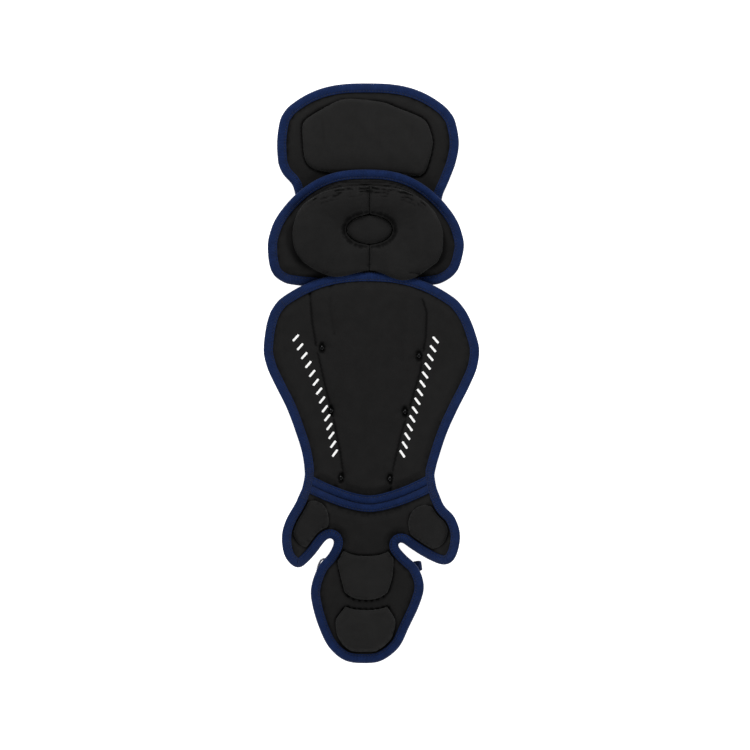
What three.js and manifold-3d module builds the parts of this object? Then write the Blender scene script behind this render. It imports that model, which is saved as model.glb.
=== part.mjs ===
// A baseball catcher's leg guard for the left leg. It lies on its hard shells with the padded side up.
// Lengths are in millimetres: X runs across the leg, Y from the toe to the thigh, Z up from the floor.
// Four sewn pads follow each other down the leg. Each is a thin quilted sheet bent to one shared leg form,
// bound with tape along its edge, carrying raised cushions on top and a hard shell underneath.
import * as THREE from 'three';
import { mergeVertices } from 'three/addons/utils/BufferGeometryUtils.js';
import Module from 'manifold-3d';

const wasm = await Module();
wasm.setup();

// Lengths down the middle of each pad, and how far each pad lies over the next one
const thighLength = 146;
const kneeLength = 148;
const shinLength = 290;
const footLength = 200;
const thighTuck = 38;
const kneeTuck = 20;

// Widths across the leg
const thighWidth = 228;
const kneeWidth = 245;
const shinWidth = 268.8;
const ankleWidth = 223;
const toeWidth = 141;

// How high each pad's wings rise above its middle, and how deep the knee cup and the ankle stand
const thighRise = 22;
const kneeRise = 56;
const shinRise = 46;
const ankleRise = 54;
const toeRise = 16;
const kneeCup = 21;
const shinArch = 4;
const ankleHeight = 24;
const channelDish = 5;

// Layers, from the leg side down
const padThickness = 12;
const edgeThickness = 6;
const bindingWidth = 10.5;
const bindingCloth = 1.6;
const shellThickness = 3;
const shellInset = 14.5;
const gap = 0.3;
const bindingGap = 0.5;
const shellGap = 1.5;
const thighCushionHeight = 5;
const ankleCushionHeight = 5;
const instepCushionHeight = 5;
const lobeHeight = 21;
const lobeRim = 10;
const buttonHeight = 17;

// Cushion sizes
const thighCushionLength = 95;
const thighCushionWidth = 162;
const lobesLength = 105;
const lobesWidth = 188;
const lobesScallop = { left: 8, right: 12.5 };
const lobesCrease = 7;
const buttonWidth = 56;
const buttonLength = 35;
const buttonClearance = 2;
const instepUpperLength = 55;
const instepUpperWidth = 70;
const instepLowerLength = 55;
const instepLowerWidth = 78;
const instepToToe = 12;

// Rivets, ring and webbing
const rivetHeadRadius = 4.2;
const rivetHeadHeight = 1.6;
const rivetShankRadius = 1.8;
const dimpleRadius = 9;
const dimpleDepth = 5;
const ringWidth = 24;
const ringWire = 3.2;
const webbingWidth = 13;
const webbingCloth = 1.8;
const leftTab = { x: -47.6, down: 85, turn: 157, tail: 12 };
const rightTab = { x: 58.5, down: 78, turn: 8, tail: 20 };

// Facet sizes
const outlineStep = 17;
const latticeStep = 20;
const cushionStep = 12;
const thighCushionStep = 15;
const lobeStep = 11;
const buttonStep = 9;
const rivetSides = 8;

const edgeHalf = edgeThickness / 2;
const bandHalf = edgeHalf + bindingGap + bindingCloth;
const noseOut = bindingGap + bindingCloth;
const restLevel = shellThickness + shellGap + edgeHalf;

const guardLength = footLength + shinLength - kneeTuck + kneeLength - thighTuck + thighLength;
const thighTop = guardLength / 2;
const kneeTop = thighTop - thighLength + thighTuck;
const shinTop = kneeTop - kneeLength + kneeTuck;
const seam = shinTop - shinLength;
const toe = seam - footLength;

// One column of a table at a place along it, on a smooth curve that never overshoots its rows
function along(rows, column, at) {
  const last = rows.length - 1;
  if (at <= rows[0].at) return rows[0][column];
  if (at >= rows[last].at) return rows[last][column];
  const slope = (i) => (rows[i + 1][column] - rows[i][column]) / (rows[i + 1].at - rows[i].at);
  const tangent = (i) => {
    if (i === 0) return slope(0);
    if (i === last) return slope(last - 1);
    const before = slope(i - 1);
    const after = slope(i);
    return before * after > 0 ? (2 * before * after) / (before + after) : 0;
  };
  let i = 0;
  while (at > rows[i + 1].at) i += 1;
  const step = rows[i + 1].at - rows[i].at;
  const t = (at - rows[i].at) / step;
  const start = rows[i][column];
  const end = rows[i + 1][column];
  const ease = t * t * (3 - 2 * t);
  const leave = t * (1 - t) * (1 - t) * step * tangent(i);
  const arrive = t * t * (1 - t) * step * tangent(i + 1);
  return start + (end - start) * ease + leave - arrive;
}

const smooth = (t) => THREE.MathUtils.smoothstep(t, 0, 1);

// The leg form that all pads share, in rows down the guard: the edges of the flat channel on the
// two sides, the half width where the wings have their full rise, and the hollow in the channel
const formRows = [
  { at: thighTop, left: 0.5 * thighWidth / 2, right: 0.5 * thighWidth / 2, half: thighWidth / 2,
    rise: 0.7 * thighRise, dish: 0.6 * channelDish },
  { at: thighTop - 0.5 * thighLength, left: 0.48 * thighWidth / 2, right: 0.48 * thighWidth / 2,
    half: thighWidth / 2, rise: thighRise, dish: 0.6 * channelDish },
  { at: kneeTop - 0.25 * kneeLength, left: 0.42 * kneeWidth / 2, right: 0.42 * kneeWidth / 2,
    half: 0.97 * kneeWidth / 2, rise: 0.66 * kneeRise, dish: 0.3 * channelDish },
  { at: kneeTop - 0.5 * kneeLength, left: 0.34 * kneeWidth / 2, right: 0.34 * kneeWidth / 2,
    half: kneeWidth / 2, rise: kneeRise, dish: 0 },
  { at: kneeTop - 0.78 * kneeLength, left: 0.36 * kneeWidth / 2, right: 0.36 * kneeWidth / 2,
    half: kneeWidth / 2, rise: 0.96 * kneeRise, dish: 0 },
  { at: shinTop - 0.06 * shinLength, left: 0.57 * shinWidth / 2, right: 0.49 * shinWidth / 2,
    half: 0.93 * shinWidth / 2, rise: 0.95 * shinRise, dish: channelDish },
  { at: shinTop - 0.34 * shinLength, left: 0.51 * shinWidth / 2, right: 0.5 * shinWidth / 2,
    half: shinWidth / 2, rise: shinRise, dish: channelDish },
  { at: shinTop - 0.68 * shinLength, left: 0.34 * shinWidth / 2, right: 0.29 * shinWidth / 2,
    half: 0.69 * shinWidth / 2, rise: 0.76 * shinRise, dish: 0.7 * channelDish },
  { at: seam + 0.04 * shinLength, left: 0.26 * shinWidth / 2, right: 0.2 * shinWidth / 2,
    half: 0.62 * shinWidth / 2, rise: 0.74 * shinRise, dish: 0.4 * channelDish },
  { at: seam - 0.2 * footLength, left: 0.3 * ankleWidth / 2, right: 0.27 * ankleWidth / 2,
    half: ankleWidth / 2, rise: ankleRise, dish: 0.3 * channelDish },
  { at: seam - 0.46 * footLength, left: 0.44 * toeWidth / 2, right: 0.44 * toeWidth / 2,
    half: toeWidth / 2, rise: 1.1 * toeRise, dish: 0.1 * channelDish },
  { at: seam - 0.78 * footLength, left: 0.4 * toeWidth / 2, right: 0.4 * toeWidth / 2,
    half: toeWidth / 2, rise: 0.9 * toeRise, dish: 0 },
  { at: toe, left: 0.36 * toeWidth / 2, right: 0.36 * toeWidth / 2,
    half: toeWidth / 2, rise: 0.6 * toeRise, dish: 0 },
].map((row) => ({ ...row, at: thighTop - row.at }));

const softRise = 0.45; // the share of a wing's rise that is a straight slope, the rest is a curve

function legForm(point) {
  const at = thighTop - point.y;
  const channel = along(formRows, point.x < 0 ? 'left' : 'right', at);
  const half = along(formRows, 'half', at);
  const out = Math.abs(point.x);
  const wing = Math.max(0, (out - channel) / (half - channel));
  const dish = along(formRows, 'dish', at) * Math.min(1, out / channel) ** 2;
  return dish + along(formRows, 'rise', at) * (softRise * wing + (1 - softRise) * wing * wing);
}

// Outlines in the XY plane are closed loops that run counterclockwise

const bendReach = 8; // how strongly a bend draws an outline's points together

// Points spread round a closed loop, closer together by up to the bend share where it bends
function resample(loop, step, bendShare = 0) {
  const at = (i) => loop[(i + loop.length) % loop.length];
  const turn = (i) => {
    const before = at(i).clone().sub(at(i - 1));
    const after = at(i + 1).clone().sub(at(i));
    const angle = Math.abs(Math.atan2(before.cross(after), before.dot(after)));
    return angle / (0.5 * (before.length() + after.length()) || 1);
  };
  const lengths = [0];
  loop.forEach((point, i) => {
    const bend = Math.min(bendShare, bendReach * (turn(i) + turn(i + 1)));
    lengths.push(lengths[i] + point.distanceTo(at(i + 1)) * (1 + bend));
  });
  const total = lengths[loop.length];
  const count = Math.round(total / step);
  let i = 0;
  return Array.from({ length: count }, (_, k) => {
    const want = (k * total) / count;
    while (lengths[i + 1] < want) i += 1;
    const share = (want - lengths[i]) / (lengths[i + 1] - lengths[i]);
    return at(i).clone().lerp(at(i + 1), share);
  });
}

function distanceTo(loop, point) {
  const edge = new THREE.Line3();
  const at = new THREE.Vector3(point.x, point.y, 0);
  const near = new THREE.Vector3();
  let best = Infinity;
  loop.forEach((start, i) => {
    const end = loop[(i + 1) % loop.length];
    edge.start.set(start.x, start.y, 0);
    edge.end.set(end.x, end.y, 0);
    edge.closestPointToPoint(at, true, near);
    best = Math.min(best, near.distanceTo(at));
  });
  return best;
}

function isInside(loop, point) {
  let inside = false;
  loop.forEach((a, i) => {
    const b = loop[(i + 1) % loop.length];
    if (a.y > point.y !== b.y > point.y) {
      const crossing = a.x + ((b.x - a.x) * (point.y - a.y)) / (b.y - a.y);
      if (point.x < crossing) inside = !inside;
    }
  });
  return inside;
}

// The outline moved inward by a distance, with its corners mitred
function offset(loop, distance) {
  return loop.map((point, i) => {
    const arrive = point.clone().sub(loop.at(i - 1)).normalize();
    const leave = loop[(i + 1) % loop.length].clone().sub(point).normalize();
    const along = arrive.clone().add(leave).normalize();
    const mitre = arrive.cross(leave) * distance > 0 ? 1 / Math.max(0.5, along.dot(leave)) : 1;
    return point.clone().addScaledVector(new THREE.Vector2(-along.y, along.x), distance * mitre);
  });
}

// Drops the points beside a sharp corner whose insets would run back past the corner's
function uncrowded(loop, distance) {
  const inner = offset(loop, distance);
  const step = (points, i) => points[i].clone().sub(points.at(i - 1));
  const turn = (i) => step(loop, i).normalize().cross(step(loop, (i + 1) % loop.length).normalize());
  const crowded = loop.findIndex((_, i) => step(inner, i).dot(step(loop, i)) < 0.1 * step(loop, i).lengthSq());
  if (crowded < 0) return loop;
  const before = (crowded + loop.length - 1) % loop.length;
  const spare = turn(crowded) > turn(before) ? before : crowded;
  return uncrowded(loop.filter((_, i) => i !== spare), distance);
}

// A smaller outline for a plate under the pad. Points that a tight corner pushes past its middle drop out.
function insetPlate(loop, distance, step) {
  const fine = resample(loop, 3);
  const kept = offset(fine, distance).filter((point) => distanceTo(fine, point) > 0.97 * distance);
  return resample(kept, step);
}

const noScallop = { left: 0, right: 0 };

// A pad's outline from rows across it. Each row gives its place from the top and its two ends as shares
// of the half width. An arch closes the top and the bottom, fuller as its shape number grows, and a
// scallop lets the two halves of the bottom hang lower than its middle.
function rowOutline({ rows, length, width, top, crown = 2.6, heel = 2.6, scallop = noScallop }) {
  const half = width / 2;
  const steps = 48;
  const share = (k) => k / steps;
  const last = rows.length - 1;
  const side = (column, t) => {
    const at = THREE.MathUtils.lerp(rows[0].at, rows[last].at, t);
    return new THREE.Vector2(along(rows, column, at) * half, top - at * length);
  };
  const arch = (row, t, middle, shape, drop) => {
    const across = 2 * t - 1;
    const corner = row.at - middle;
    const y = middle + corner * Math.abs(across) ** shape;
    const x = THREE.MathUtils.lerp(row.left, row.right, t) * half;
    const hang = across < 0 ? drop.left : drop.right;
    return new THREE.Vector2(x, top - y * length - hang * Math.sin(Math.PI * across) ** 2);
  };
  const ticks = Array.from({ length: steps }, (_, k) => share(k));
  return [
    ...ticks.map((t) => side('left', t)),
    ...ticks.map((t) => arch(rows[last], t, 1, heel, scallop)),
    ...ticks.map((t) => side('right', 1 - t)),
    ...ticks.map((t) => arch(rows[0], 1 - t, 0, crown, noScallop)),
  ];
}

// Delaunay triangles over flat points: each new point opens the triangles whose circle holds it
function triangulate(points) {
  const far = 1e5;
  const tent = [new THREE.Vector2(-far, -far), new THREE.Vector2(far, -far), new THREE.Vector2(0, far)];
  const all = [...points, ...tent];
  const circled = (a, b, c) => {
    const [p, q, r] = [all[a], all[b], all[c]];
    const area = 2 * ((q.x - p.x) * (r.y - p.y) - (q.y - p.y) * (r.x - p.x));
    const pq = q.lengthSq() - p.lengthSq();
    const pr = r.lengthSq() - p.lengthSq();
    const centre = new THREE.Vector2(
      (pq * (r.y - p.y) - pr * (q.y - p.y)) / area,
      (pr * (q.x - p.x) - pq * (r.x - p.x)) / area,
    );
    return { corners: [a, b, c], centre, reach: centre.distanceToSquared(p) };
  };
  const count = points.length;
  let triangles = [circled(count, count + 1, count + 2)];
  points.forEach((point, index) => {
    const rim = new Map();
    triangles = triangles.filter(({ corners, centre, reach }) => {
      if (centre.distanceToSquared(point) >= reach) return true;
      corners.forEach((corner, k) => {
        const next = corners[(k + 1) % 3];
        if (!rim.delete(`${next} ${corner}`)) rim.set(`${corner} ${next}`, [corner, next]);
      });
      return false;
    });
    rim.forEach(([a, b]) => triangles.push(circled(a, b, index)));
  });
  return triangles.map(({ corners }) => corners).filter((corners) => corners.every((c) => c < count));
}

function solidFrom(geometry) {
  geometry.deleteAttribute('normal');
  geometry.deleteAttribute('uv');
  const merged = mergeVertices(geometry, 1e-4);
  const mesh = new wasm.Mesh({
    numProp: 3,
    vertProperties: merged.attributes.position.array,
    triVerts: new Uint32Array(merged.index.array),
  });
  return new wasm.Manifold(mesh);
}

function geometryFrom(solid) {
  const mesh = solid.getMesh();
  const geometry = new THREE.BufferGeometry();
  geometry.setAttribute('position', new THREE.BufferAttribute(mesh.vertProperties, 3));
  geometry.setIndex(new THREE.BufferAttribute(mesh.triVerts, 1));
  const flat = geometry.toNonIndexed();
  flat.computeVertexNormals();
  return flat;
}

const flatFace = 0.05; // twice the area under which a triangle is only a line of outline points

// A closed solid between two height fields. Rings run inward from the outline, and an even lattice of
// points, the same under every piece, fills the innermost one. Both heights are functions of the point
// and of its way in from the edge.
function quilted({ outline, insets, lattice = latticeStep, upper, lower }) {
  const rings = [outline, ...insets.map((inset) => offset(outline, inset))];
  const ways = [0, ...insets];
  const inner = rings[rings.length - 1];
  const size = outline.length;
  const box = new THREE.Box2().setFromPoints(inner);
  const fill = [];
  const rowStep = (lattice * Math.sqrt(3)) / 2;
  const clear = Math.min(0.62 * lattice, 0.8 * bindingWidth);
  for (let row = Math.floor(box.min.y / rowStep); row * rowStep < box.max.y; row += 1) {
    const shift = row % 2 === 0 ? 0 : 0.5;
    for (let column = Math.floor(box.min.x / lattice) - 1; column * lattice < box.max.x; column += 1) {
      const point = new THREE.Vector2((column + shift) * lattice, row * rowStep);
      if (isInside(inner, point) && distanceTo(inner, point) > clear) fill.push(point);
    }
  }
  const core = [...inner, ...fill];
  const centroid = (corners) => corners
    .reduce((sum, c) => sum.add(core[c]), new THREE.Vector2())
    .divideScalar(3);
  const spread = ([a, b, c]) => core[b].clone().sub(core[a]).cross(core[c].clone().sub(core[a]));
  const faces = triangulate(core).filter((corners) => {
    return spread(corners) > flatFace && isInside(inner, centroid(corners));
  });

  const high = (point, way) => new THREE.Vector3(point.x, point.y, upper(point, way));
  const low = (point, way) => new THREE.Vector3(point.x, point.y, lower(point, way));
  const corners = [];
  const face = (a, b, c) => {
    if (a.distanceTo(b) > 1e-3 && b.distanceTo(c) > 1e-3 && c.distanceTo(a) > 1e-3) corners.push(a, b, c);
  };
  const innerWay = ways[ways.length - 1];
  const wayIn = core.map((point, i) => (i < size ? innerWay : distanceTo(outline, point)));
  const highs = core.map((point, i) => high(point, wayIn[i]));
  const lows = core.map((point, i) => low(point, wayIn[i]));
  faces.forEach(([a, b, c]) => {
    face(highs[a], highs[b], highs[c]);
    face(lows[a], lows[c], lows[b]);
  });
  outline.forEach((_, i) => {
    const j = (i + 1) % size;
    for (let k = 0; k < rings.length - 1; k += 1) {
      const outHigh = [high(rings[k][i], ways[k]), high(rings[k][j], ways[k])];
      const inHigh = [high(rings[k + 1][i], ways[k + 1]), high(rings[k + 1][j], ways[k + 1])];
      face(outHigh[0], outHigh[1], inHigh[1]);
      face(outHigh[0], inHigh[1], inHigh[0]);
      const outLow = [low(rings[k][i], ways[k]), low(rings[k][j], ways[k])];
      const inLow = [low(rings[k + 1][i], ways[k + 1]), low(rings[k + 1][j], ways[k + 1])];
      face(outLow[0], inLow[1], outLow[1]);
      face(outLow[0], inLow[0], inLow[1]);
    }
    const wallHigh = [high(outline[i], 0), high(outline[j], 0)];
    const wallLow = [low(outline[i], 0), low(outline[j], 0)];
    face(wallHigh[0], wallLow[1], wallHigh[1]);
    face(wallHigh[0], wallLow[0], wallLow[1]);
  });
  return solidFrom(new THREE.BufferGeometry().setFromPoints(corners));
}

// Pads. A pad's level is the height of its edge's mid-plane along its middle line, in rows down its length.
const rampWidth = 9; // from the binding's inner edge to the pad's full thickness

function padOf({ outline, top, length, levels, thin = () => 1 }) {
  const bound = offset(resample(outline, 2), noseOut);
  const loop = uncrowded(resample(bound, outlineStep, 0.5), bindingWidth);
  const base = (point) => along(levels, 'level', (top - point.y) / length) + legForm(point);
  const puff = padThickness - edgeThickness;
  const edge = (way) => edgeHalf * Math.min(1, way / bindingWidth);
  const front = (point, way) => {
    const fill = smooth((way - bindingWidth) / rampWidth);
    return base(point) + edge(way) + puff * fill * thin(point);
  };
  const back = (point, way) => base(point) - edge(way);
  return {
    loop,
    base,
    back,
    front: (point) => front(point, distanceTo(loop, point)),
    solid: quilted({ outline: loop, insets: [bindingWidth], upper: front, lower: back }),
  };
}

// The binding is tape folded over the pad's edge: a C-shaped section that follows the outline
function bindingOf({ loop, base }) {
  const inner = offset(loop, bindingWidth);
  const shoulder = offset(loop, 0.14 * bindingWidth);
  const nose = offset(loop, -noseOut);
  const innerNose = offset(loop, -bindingGap);
  const station = (i) => {
    const at = (point, lift) => new THREE.Vector3(point.x, point.y, lift);
    const band = base(inner[i]);
    const edge = base(loop[i]);
    return [
      at(inner[i], band + bandHalf),
      at(shoulder[i], edge + 0.72 * bandHalf),
      at(nose[i], edge),
      at(shoulder[i], edge - 0.72 * bandHalf),
      at(inner[i], band - bandHalf),
      at(inner[i], band - edgeHalf - bindingGap),
      at(innerNose[i], edge - bindingGap),
      at(innerNose[i], edge + bindingGap),
      at(inner[i], band + edgeHalf + bindingGap),
    ];
  };
  const stations = loop.map((_, i) => station(i));
  const corners = [];
  stations.forEach((here, i) => {
    const next = stations[(i + 1) % stations.length];
    here.forEach((_, k) => {
      const m = (k + 1) % here.length;
      const underside = k >= 2 && k <= 5;
      if (underside) corners.push(here[k], here[m], next[k], here[m], next[m], next[k]);
      else corners.push(here[k], next[m], next[k], here[k], here[m], next[m]);
    });
  });
  return solidFrom(new THREE.BufferGeometry().setFromPoints(corners));
}

// A hard plate under a pad
function shellOf(pad, { from, to, clearance = shellGap }) {
  const fine = insetPlate(pad.loop, shellInset, 3);
  const clamped = fine.map((p) => new THREE.Vector2(p.x, THREE.MathUtils.clamp(p.y, to, from)));
  const outline = resample(resample(clamped, 2), 0.85 * outlineStep);
  const upper = (point) => pad.base(point) - edgeHalf - clearance;
  const lower = (point) => Math.max(0, upper(point) - shellThickness);
  return quilted({ outline, insets: [2], lattice: latticeStep, upper, lower });
}

const over = (piece, other) => piece.subtract(other.translate([0, 0, gap]));

// A raised cushion sewn on a pad: a low dome with a rounded shoulder, cut to sit on the pad. Where its
// outline would lie over the binding, it draws in towards its own middle.
function cushionOn(pad, outline, height, step = cushionStep) {
  const middle = new THREE.Box2().setFromPoints(outline).getCenter(new THREE.Vector2());
  const clearOf = (point) => {
    const spot = point.clone();
    const clear = () => isInside(pad.loop, spot) && distanceTo(pad.loop, spot) > bindingWidth + 4 * gap;
    while (!clear()) spot.lerp(middle, 0.02);
    return spot;
  };
  const loop = resample(outline.map(clearOf), step);
  const shoulder = 4;
  const lip = 0.4 * height;
  const crownWay = 14;
  const upper = (point, way) => {
    const round = way === 0 ? lip : height * (0.82 + 0.18 * smooth(way / crownWay));
    return pad.front(point) + round;
  };
  const lower = (point) => pad.front(point) - 1.5;
  const blank = quilted({ outline: loop, insets: [shoulder], lattice: 24, upper, lower });
  return over(blank, pad.solid);
}

const moved = (loop, x, y) => loop.map((p) => new THREE.Vector2(p.x + x, p.y + y));

function oval({ x, y, width, length, tilt }) {
  const turn = THREE.MathUtils.degToRad(tilt);
  const curve = new THREE.EllipseCurve(x, y, width / 2, length / 2, 0, 2 * Math.PI, false, turn);
  return curve.getPoints(60).slice(0, -1);
}

// Thigh: a wide rounded pad whose lower end thins where it reaches in behind the knee
const thighRows = [
  { at: 0.214, left: -0.926, right: 0.828 },
  { at: 0.316, left: -1.003, right: 0.916 },
  { at: 0.521, left: -1.036, right: 0.96 },
  { at: 0.675, left: -1.025, right: 0.927 },
  { at: 0.778, left: -0.975, right: 0.88 },
  { at: 0.88, left: -0.86, right: 0.826 },
  { at: 0.96, left: -0.835, right: 0.78 },
  { at: 1.05, left: -0.8, right: 0.76 },
];
const thighLow = restLevel + 2.2;
const thighLevels = [
  { at: 0, level: thighLow + 15 },
  { at: 0.45, level: thighLow + 6 },
  { at: 0.74, level: thighLow + 1.5 },
  { at: 1, level: thighLow },
];
const thighThinEnd = kneeTop - 0.1 * kneeLength;
const thighPad = padOf({
  outline: rowOutline({ rows: thighRows, length: thighLength, width: thighWidth, top: thighTop, crown: 2.8 }),
  top: thighTop,
  length: thighLength,
  levels: thighLevels,
  thin: (point) => smooth((point.y - thighThinEnd) / thighTuck),
});

// Landmarks round the thigh cushion, as shares of its half width and of its length
const thighCushionMarks = [
  [-1.057, 0.31], [-1.064, 0.469], [-1.049, 0.665], [-1.025, 0.796], [-0.957, 0.885], [-0.815, 0.934],
  [-0.617, 0.957], [-0.247, 0.959], [0.123, 0.964], [0.395, 0.982], [0.617, 1], [0.759, 1.002],
  [0.833, 0.948], [0.895, 0.796], [0.943, 0.616], [0.942, 0.522], [0.849, 0.296], [0.667, 0.2],
  [0.383, 0.106], [0.193, 0.04], [-0.159, 0], [-0.383, -0.01], [-0.553, 0.032], [-0.923, 0.21],
];
const thighCushionTop = thighTop - 0.14 * thighLength;
const thighCushionSpots = thighCushionMarks.map(([across, at]) => {
  return new THREE.Vector3((across * thighCushionWidth) / 2, thighCushionTop - at * thighCushionLength, 0);
});
const thighCushionOutline = new THREE.CatmullRomCurve3(thighCushionSpots, true, 'catmullrom')
  .getPoints(200)
  .slice(0, -1)
  .map(({ x, y }) => new THREE.Vector2(x, y));

// Knee: a cup that fills with two soft lobes round a button
const kneeRows = [
  { at: 0.288, left: -0.862, right: 0.75 },
  { at: 0.39, left: -0.954, right: 0.842 },
  { at: 0.492, left: -1.015, right: 0.903 },
  { at: 0.644, left: -1.056, right: 0.944 },
  { at: 0.746, left: -1.05, right: 0.923 },
  { at: 0.847, left: -1.026, right: 0.883 },
  { at: 0.915, left: -0.975, right: 0.811 },
  { at: 0.966, left: -0.87, right: 0.7 },
];
const kneeHeel = 0.29;
const kneeLevels = [
  { at: 0, level: 1 },
  { at: 0.24, level: 0.64 },
  { at: 0.42, level: 0.14 },
  { at: 0.52, level: 0 },
  { at: 0.76, level: 0 },
  { at: 0.88, level: 0.13 },
  { at: 1, level: kneeHeel },
].map(({ at, level }) => ({ at, level: restLevel + level * kneeCup }));
const kneePad = padOf({
  outline: rowOutline({ rows: kneeRows, length: kneeLength, width: kneeWidth, top: kneeTop, heel: 3 }),
  top: kneeTop,
  length: kneeLength,
  levels: kneeLevels,
});

const lobesTop = kneeTop - 0.144 * kneeLength;
const buttonX = -2.5;
const buttonY = lobesTop - 0.512 * lobesLength;
const lobesRows = [
  { at: 0.214, left: -0.904, right: 0.751 },
  { at: 0.333, left: -0.99, right: 0.857 },
  { at: 0.583, left: -1.049, right: 0.951 },
  { at: 0.75, left: -1.017, right: 0.944 },
  { at: 0.893, left: -0.918, right: 0.884 },
];
const lobesOutline = rowOutline({
  rows: lobesRows,
  length: lobesLength,
  width: lobesWidth,
  top: lobesTop,
  crown: 3,
  heel: 6,
  scallop: lobesScallop,
});

// One lobe is the bean on its side of the middle seam, bitten by the button's oval. It domes up from the
// bean's outline, and the sewing pulls a crease into it along the seam and round the button.
function lobeOn(side) {
  const seamX = buttonX + (side * gap) / 2;
  const across = buttonWidth / 2 + buttonClearance;
  const down = buttonLength / 2 + buttonClearance;
  const halved = resample(lobesOutline, 0.5).filter((p) => side * (p.x - seamX) > 0);
  const bitten = resample(halved, 2).map((p) => {
    const u = (p.x - buttonX) / across;
    const v = (p.y - buttonY) / down;
    const hold = Math.hypot(u, v);
    if (hold >= 1) return p;
    const reach = Math.sqrt(1 - Math.min(1, v * v));
    return new THREE.Vector2(buttonX + side * across * reach, p.y);
  });
  const outline = resample(bitten, lobeStep);
  const rimWay = 11;
  const domeWay = 34;
  const creaseWay = 11;
  const overShin = (point) => {
    const out = isInside(shinOutline, point) ? 0 : distanceTo(shinOutline, point);
    return shinPad.base(point) + bandHalf + 2 * gap - Math.max(0, out - 3);
  };
  const lower = (point) => {
    const tuck = 1 - smooth(distanceTo(lobesOutline, point) / rimWay);
    return Math.max(kneePad.front(point) + (lobeRim - 1) * tuck - 1, overShin(point));
  };
  const upper = (point, way) => {
    const wayIn = distanceTo(lobesOutline, point);
    const dome = Math.sqrt(1 - (1 - Math.min(1, wayIn / domeWay)) ** 2);
    const crease = lobesCrease * (1 - smooth(way / creaseWay)) * smooth(wayIn / rimWay);
    const rim = Math.max(kneePad.front(point) + lobeRim, overShin(point) + 1);
    return rim + (lobeHeight - lobeRim) * dome - crease;
  };
  const blank = quilted({ outline, insets: [3.5], lattice: 16, upper, lower });
  return over(blank, kneePad.solid);
}

function kneeButton() {
  const outline = resample(
    oval({ x: buttonX, y: buttonY, width: buttonWidth, length: buttonLength, tilt: 0 }),
    buttonStep,
  );
  const upper = (point, way) => {
    const dome = Math.sqrt(1 - (1 - Math.min(1, way / 16)) ** 2);
    return kneePad.front(point) + buttonHeight * (0.68 + 0.32 * dome);
  };
  const lower = (point) => kneePad.front(point) - 1;
  const blank = quilted({ outline, insets: [5], lattice: 14, upper, lower });
  return over(blank, kneePad.solid);
}

// Shin: the long creased trough. Its top lies over the knee pad's lower edge.
const shinRows = [
  { at: 0.121, left: -0.86, right: 0.795 },
  { at: 0.172, left: -0.935, right: 0.879 },
  { at: 0.25, left: -0.981, right: 0.953 },
  { at: 0.341, left: -1, right: 1 },
  { at: 0.405, left: -0.972, right: 0.982 },
  { at: 0.483, left: -0.897, right: 0.916 },
  { at: 0.586, left: -0.786, right: 0.804 },
  { at: 0.69, left: -0.702, right: 0.702 },
  { at: 0.793, left: -0.637, right: 0.628 },
  { at: 0.871, left: -0.618, right: 0.585 },
  { at: 0.901, left: -0.622, right: 0.581 },
];
const shinStart = restLevel + kneeHeel * kneeCup + bandHalf + edgeHalf + gap;
const shinLevels = [
  { at: 0, level: shinStart },
  { at: 0.07, level: shinStart + 0.2 * shinArch },
  { at: 0.5, level: shinStart + shinArch },
  { at: 1, level: restLevel + ankleHeight },
];
const shinOutline = rowOutline({
  rows: shinRows,
  length: shinLength,
  width: shinWidth,
  top: shinTop,
  crown: 2.4,
  heel: 1.6,
});
const shinPad = padOf({ outline: shinOutline, top: shinTop, length: shinLength, levels: shinLevels });

// Foot: ankle wings and an instep tongue in one pad. Landmarks run down both sides from the seam's
// corner, as shares of the half width (the ankle's, then the toe's) and of the length below the corner.
const wingMarks = [
  { left: -0.742, leftAt: 0, right: 0.69, rightAt: -0.016 },
  { left: -0.845, leftAt: 0.115, right: 0.803, rightAt: 0.126 },
  { left: -0.947, leftAt: 0.202, right: 0.925, rightAt: 0.191 },
  { left: -1, leftAt: 0.295, right: 0.99, rightAt: 0.295 },
  { left: -0.964, leftAt: 0.41, right: 0.936, rightAt: 0.415 },
  { left: -0.818, leftAt: 0.473, right: 0.813, rightAt: 0.456 },
  { left: -0.656, leftAt: 0.413, right: 0.622, rightAt: 0.423 },
  { left: -0.521, leftAt: 0.328, right: 0.42, rightAt: 0.363 },
  { left: -0.454, leftAt: 0.309, right: 0.331, rightAt: 0.332 },
  { left: -0.417, leftAt: 0.333, right: 0.291, rightAt: 0.35 },
  { left: -0.476, leftAt: 0.396, right: 0.387, rightAt: 0.407 },
];
const tongueMarks = [
  { left: -0.949, leftAt: 0.47, right: 0.824, rightAt: 0.47 },
  { left: -1.073, leftAt: 0.585, right: 0.931, rightAt: 0.574 },
  { left: -1.046, leftAt: 0.683, right: 0.851, rightAt: 0.678 },
  { left: -0.931, leftAt: 0.803, right: 0.665, rightAt: 0.803 },
  { left: -0.754, leftAt: 0.913, right: 0.488, rightAt: 0.913 },
  { left: -0.47, leftAt: 0.986, right: 0.186, rightAt: 0.986 },
];
const seamRise = 0.099 * shinLength; // how much higher the seam's ends lie than its middle
const seamGap = 1; // between the two bindings, room for the facets of both

function footOutline() {
  const spot = (mark, side, width) => {
    const y = seam + seamRise - mark[`${side}At`] * (footLength + seamRise);
    return new THREE.Vector2((mark[side] * width) / 2, y);
  };
  const down = (side) => [
    ...wingMarks.map((mark) => spot(mark, side, ankleWidth)),
    ...tongueMarks.map((mark) => spot(mark, side, toeWidth)),
  ];
  const sides = [...down('left'), new THREE.Vector2(-0.115 * toeWidth / 2, toe), ...down('right').reverse()];
  const round = new THREE.SplineCurve(sides).getPoints(260);
  const corner = 4;
  const under = shinOutline.filter((p) => {
    return p.y < seam + seamRise && p.x > round[0].x + corner && p.x < round.at(-1).x - corner;
  });
  return [...round, ...moved(under.sort((a, b) => b.x - a.x), 0, -seamGap)];
}

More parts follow.
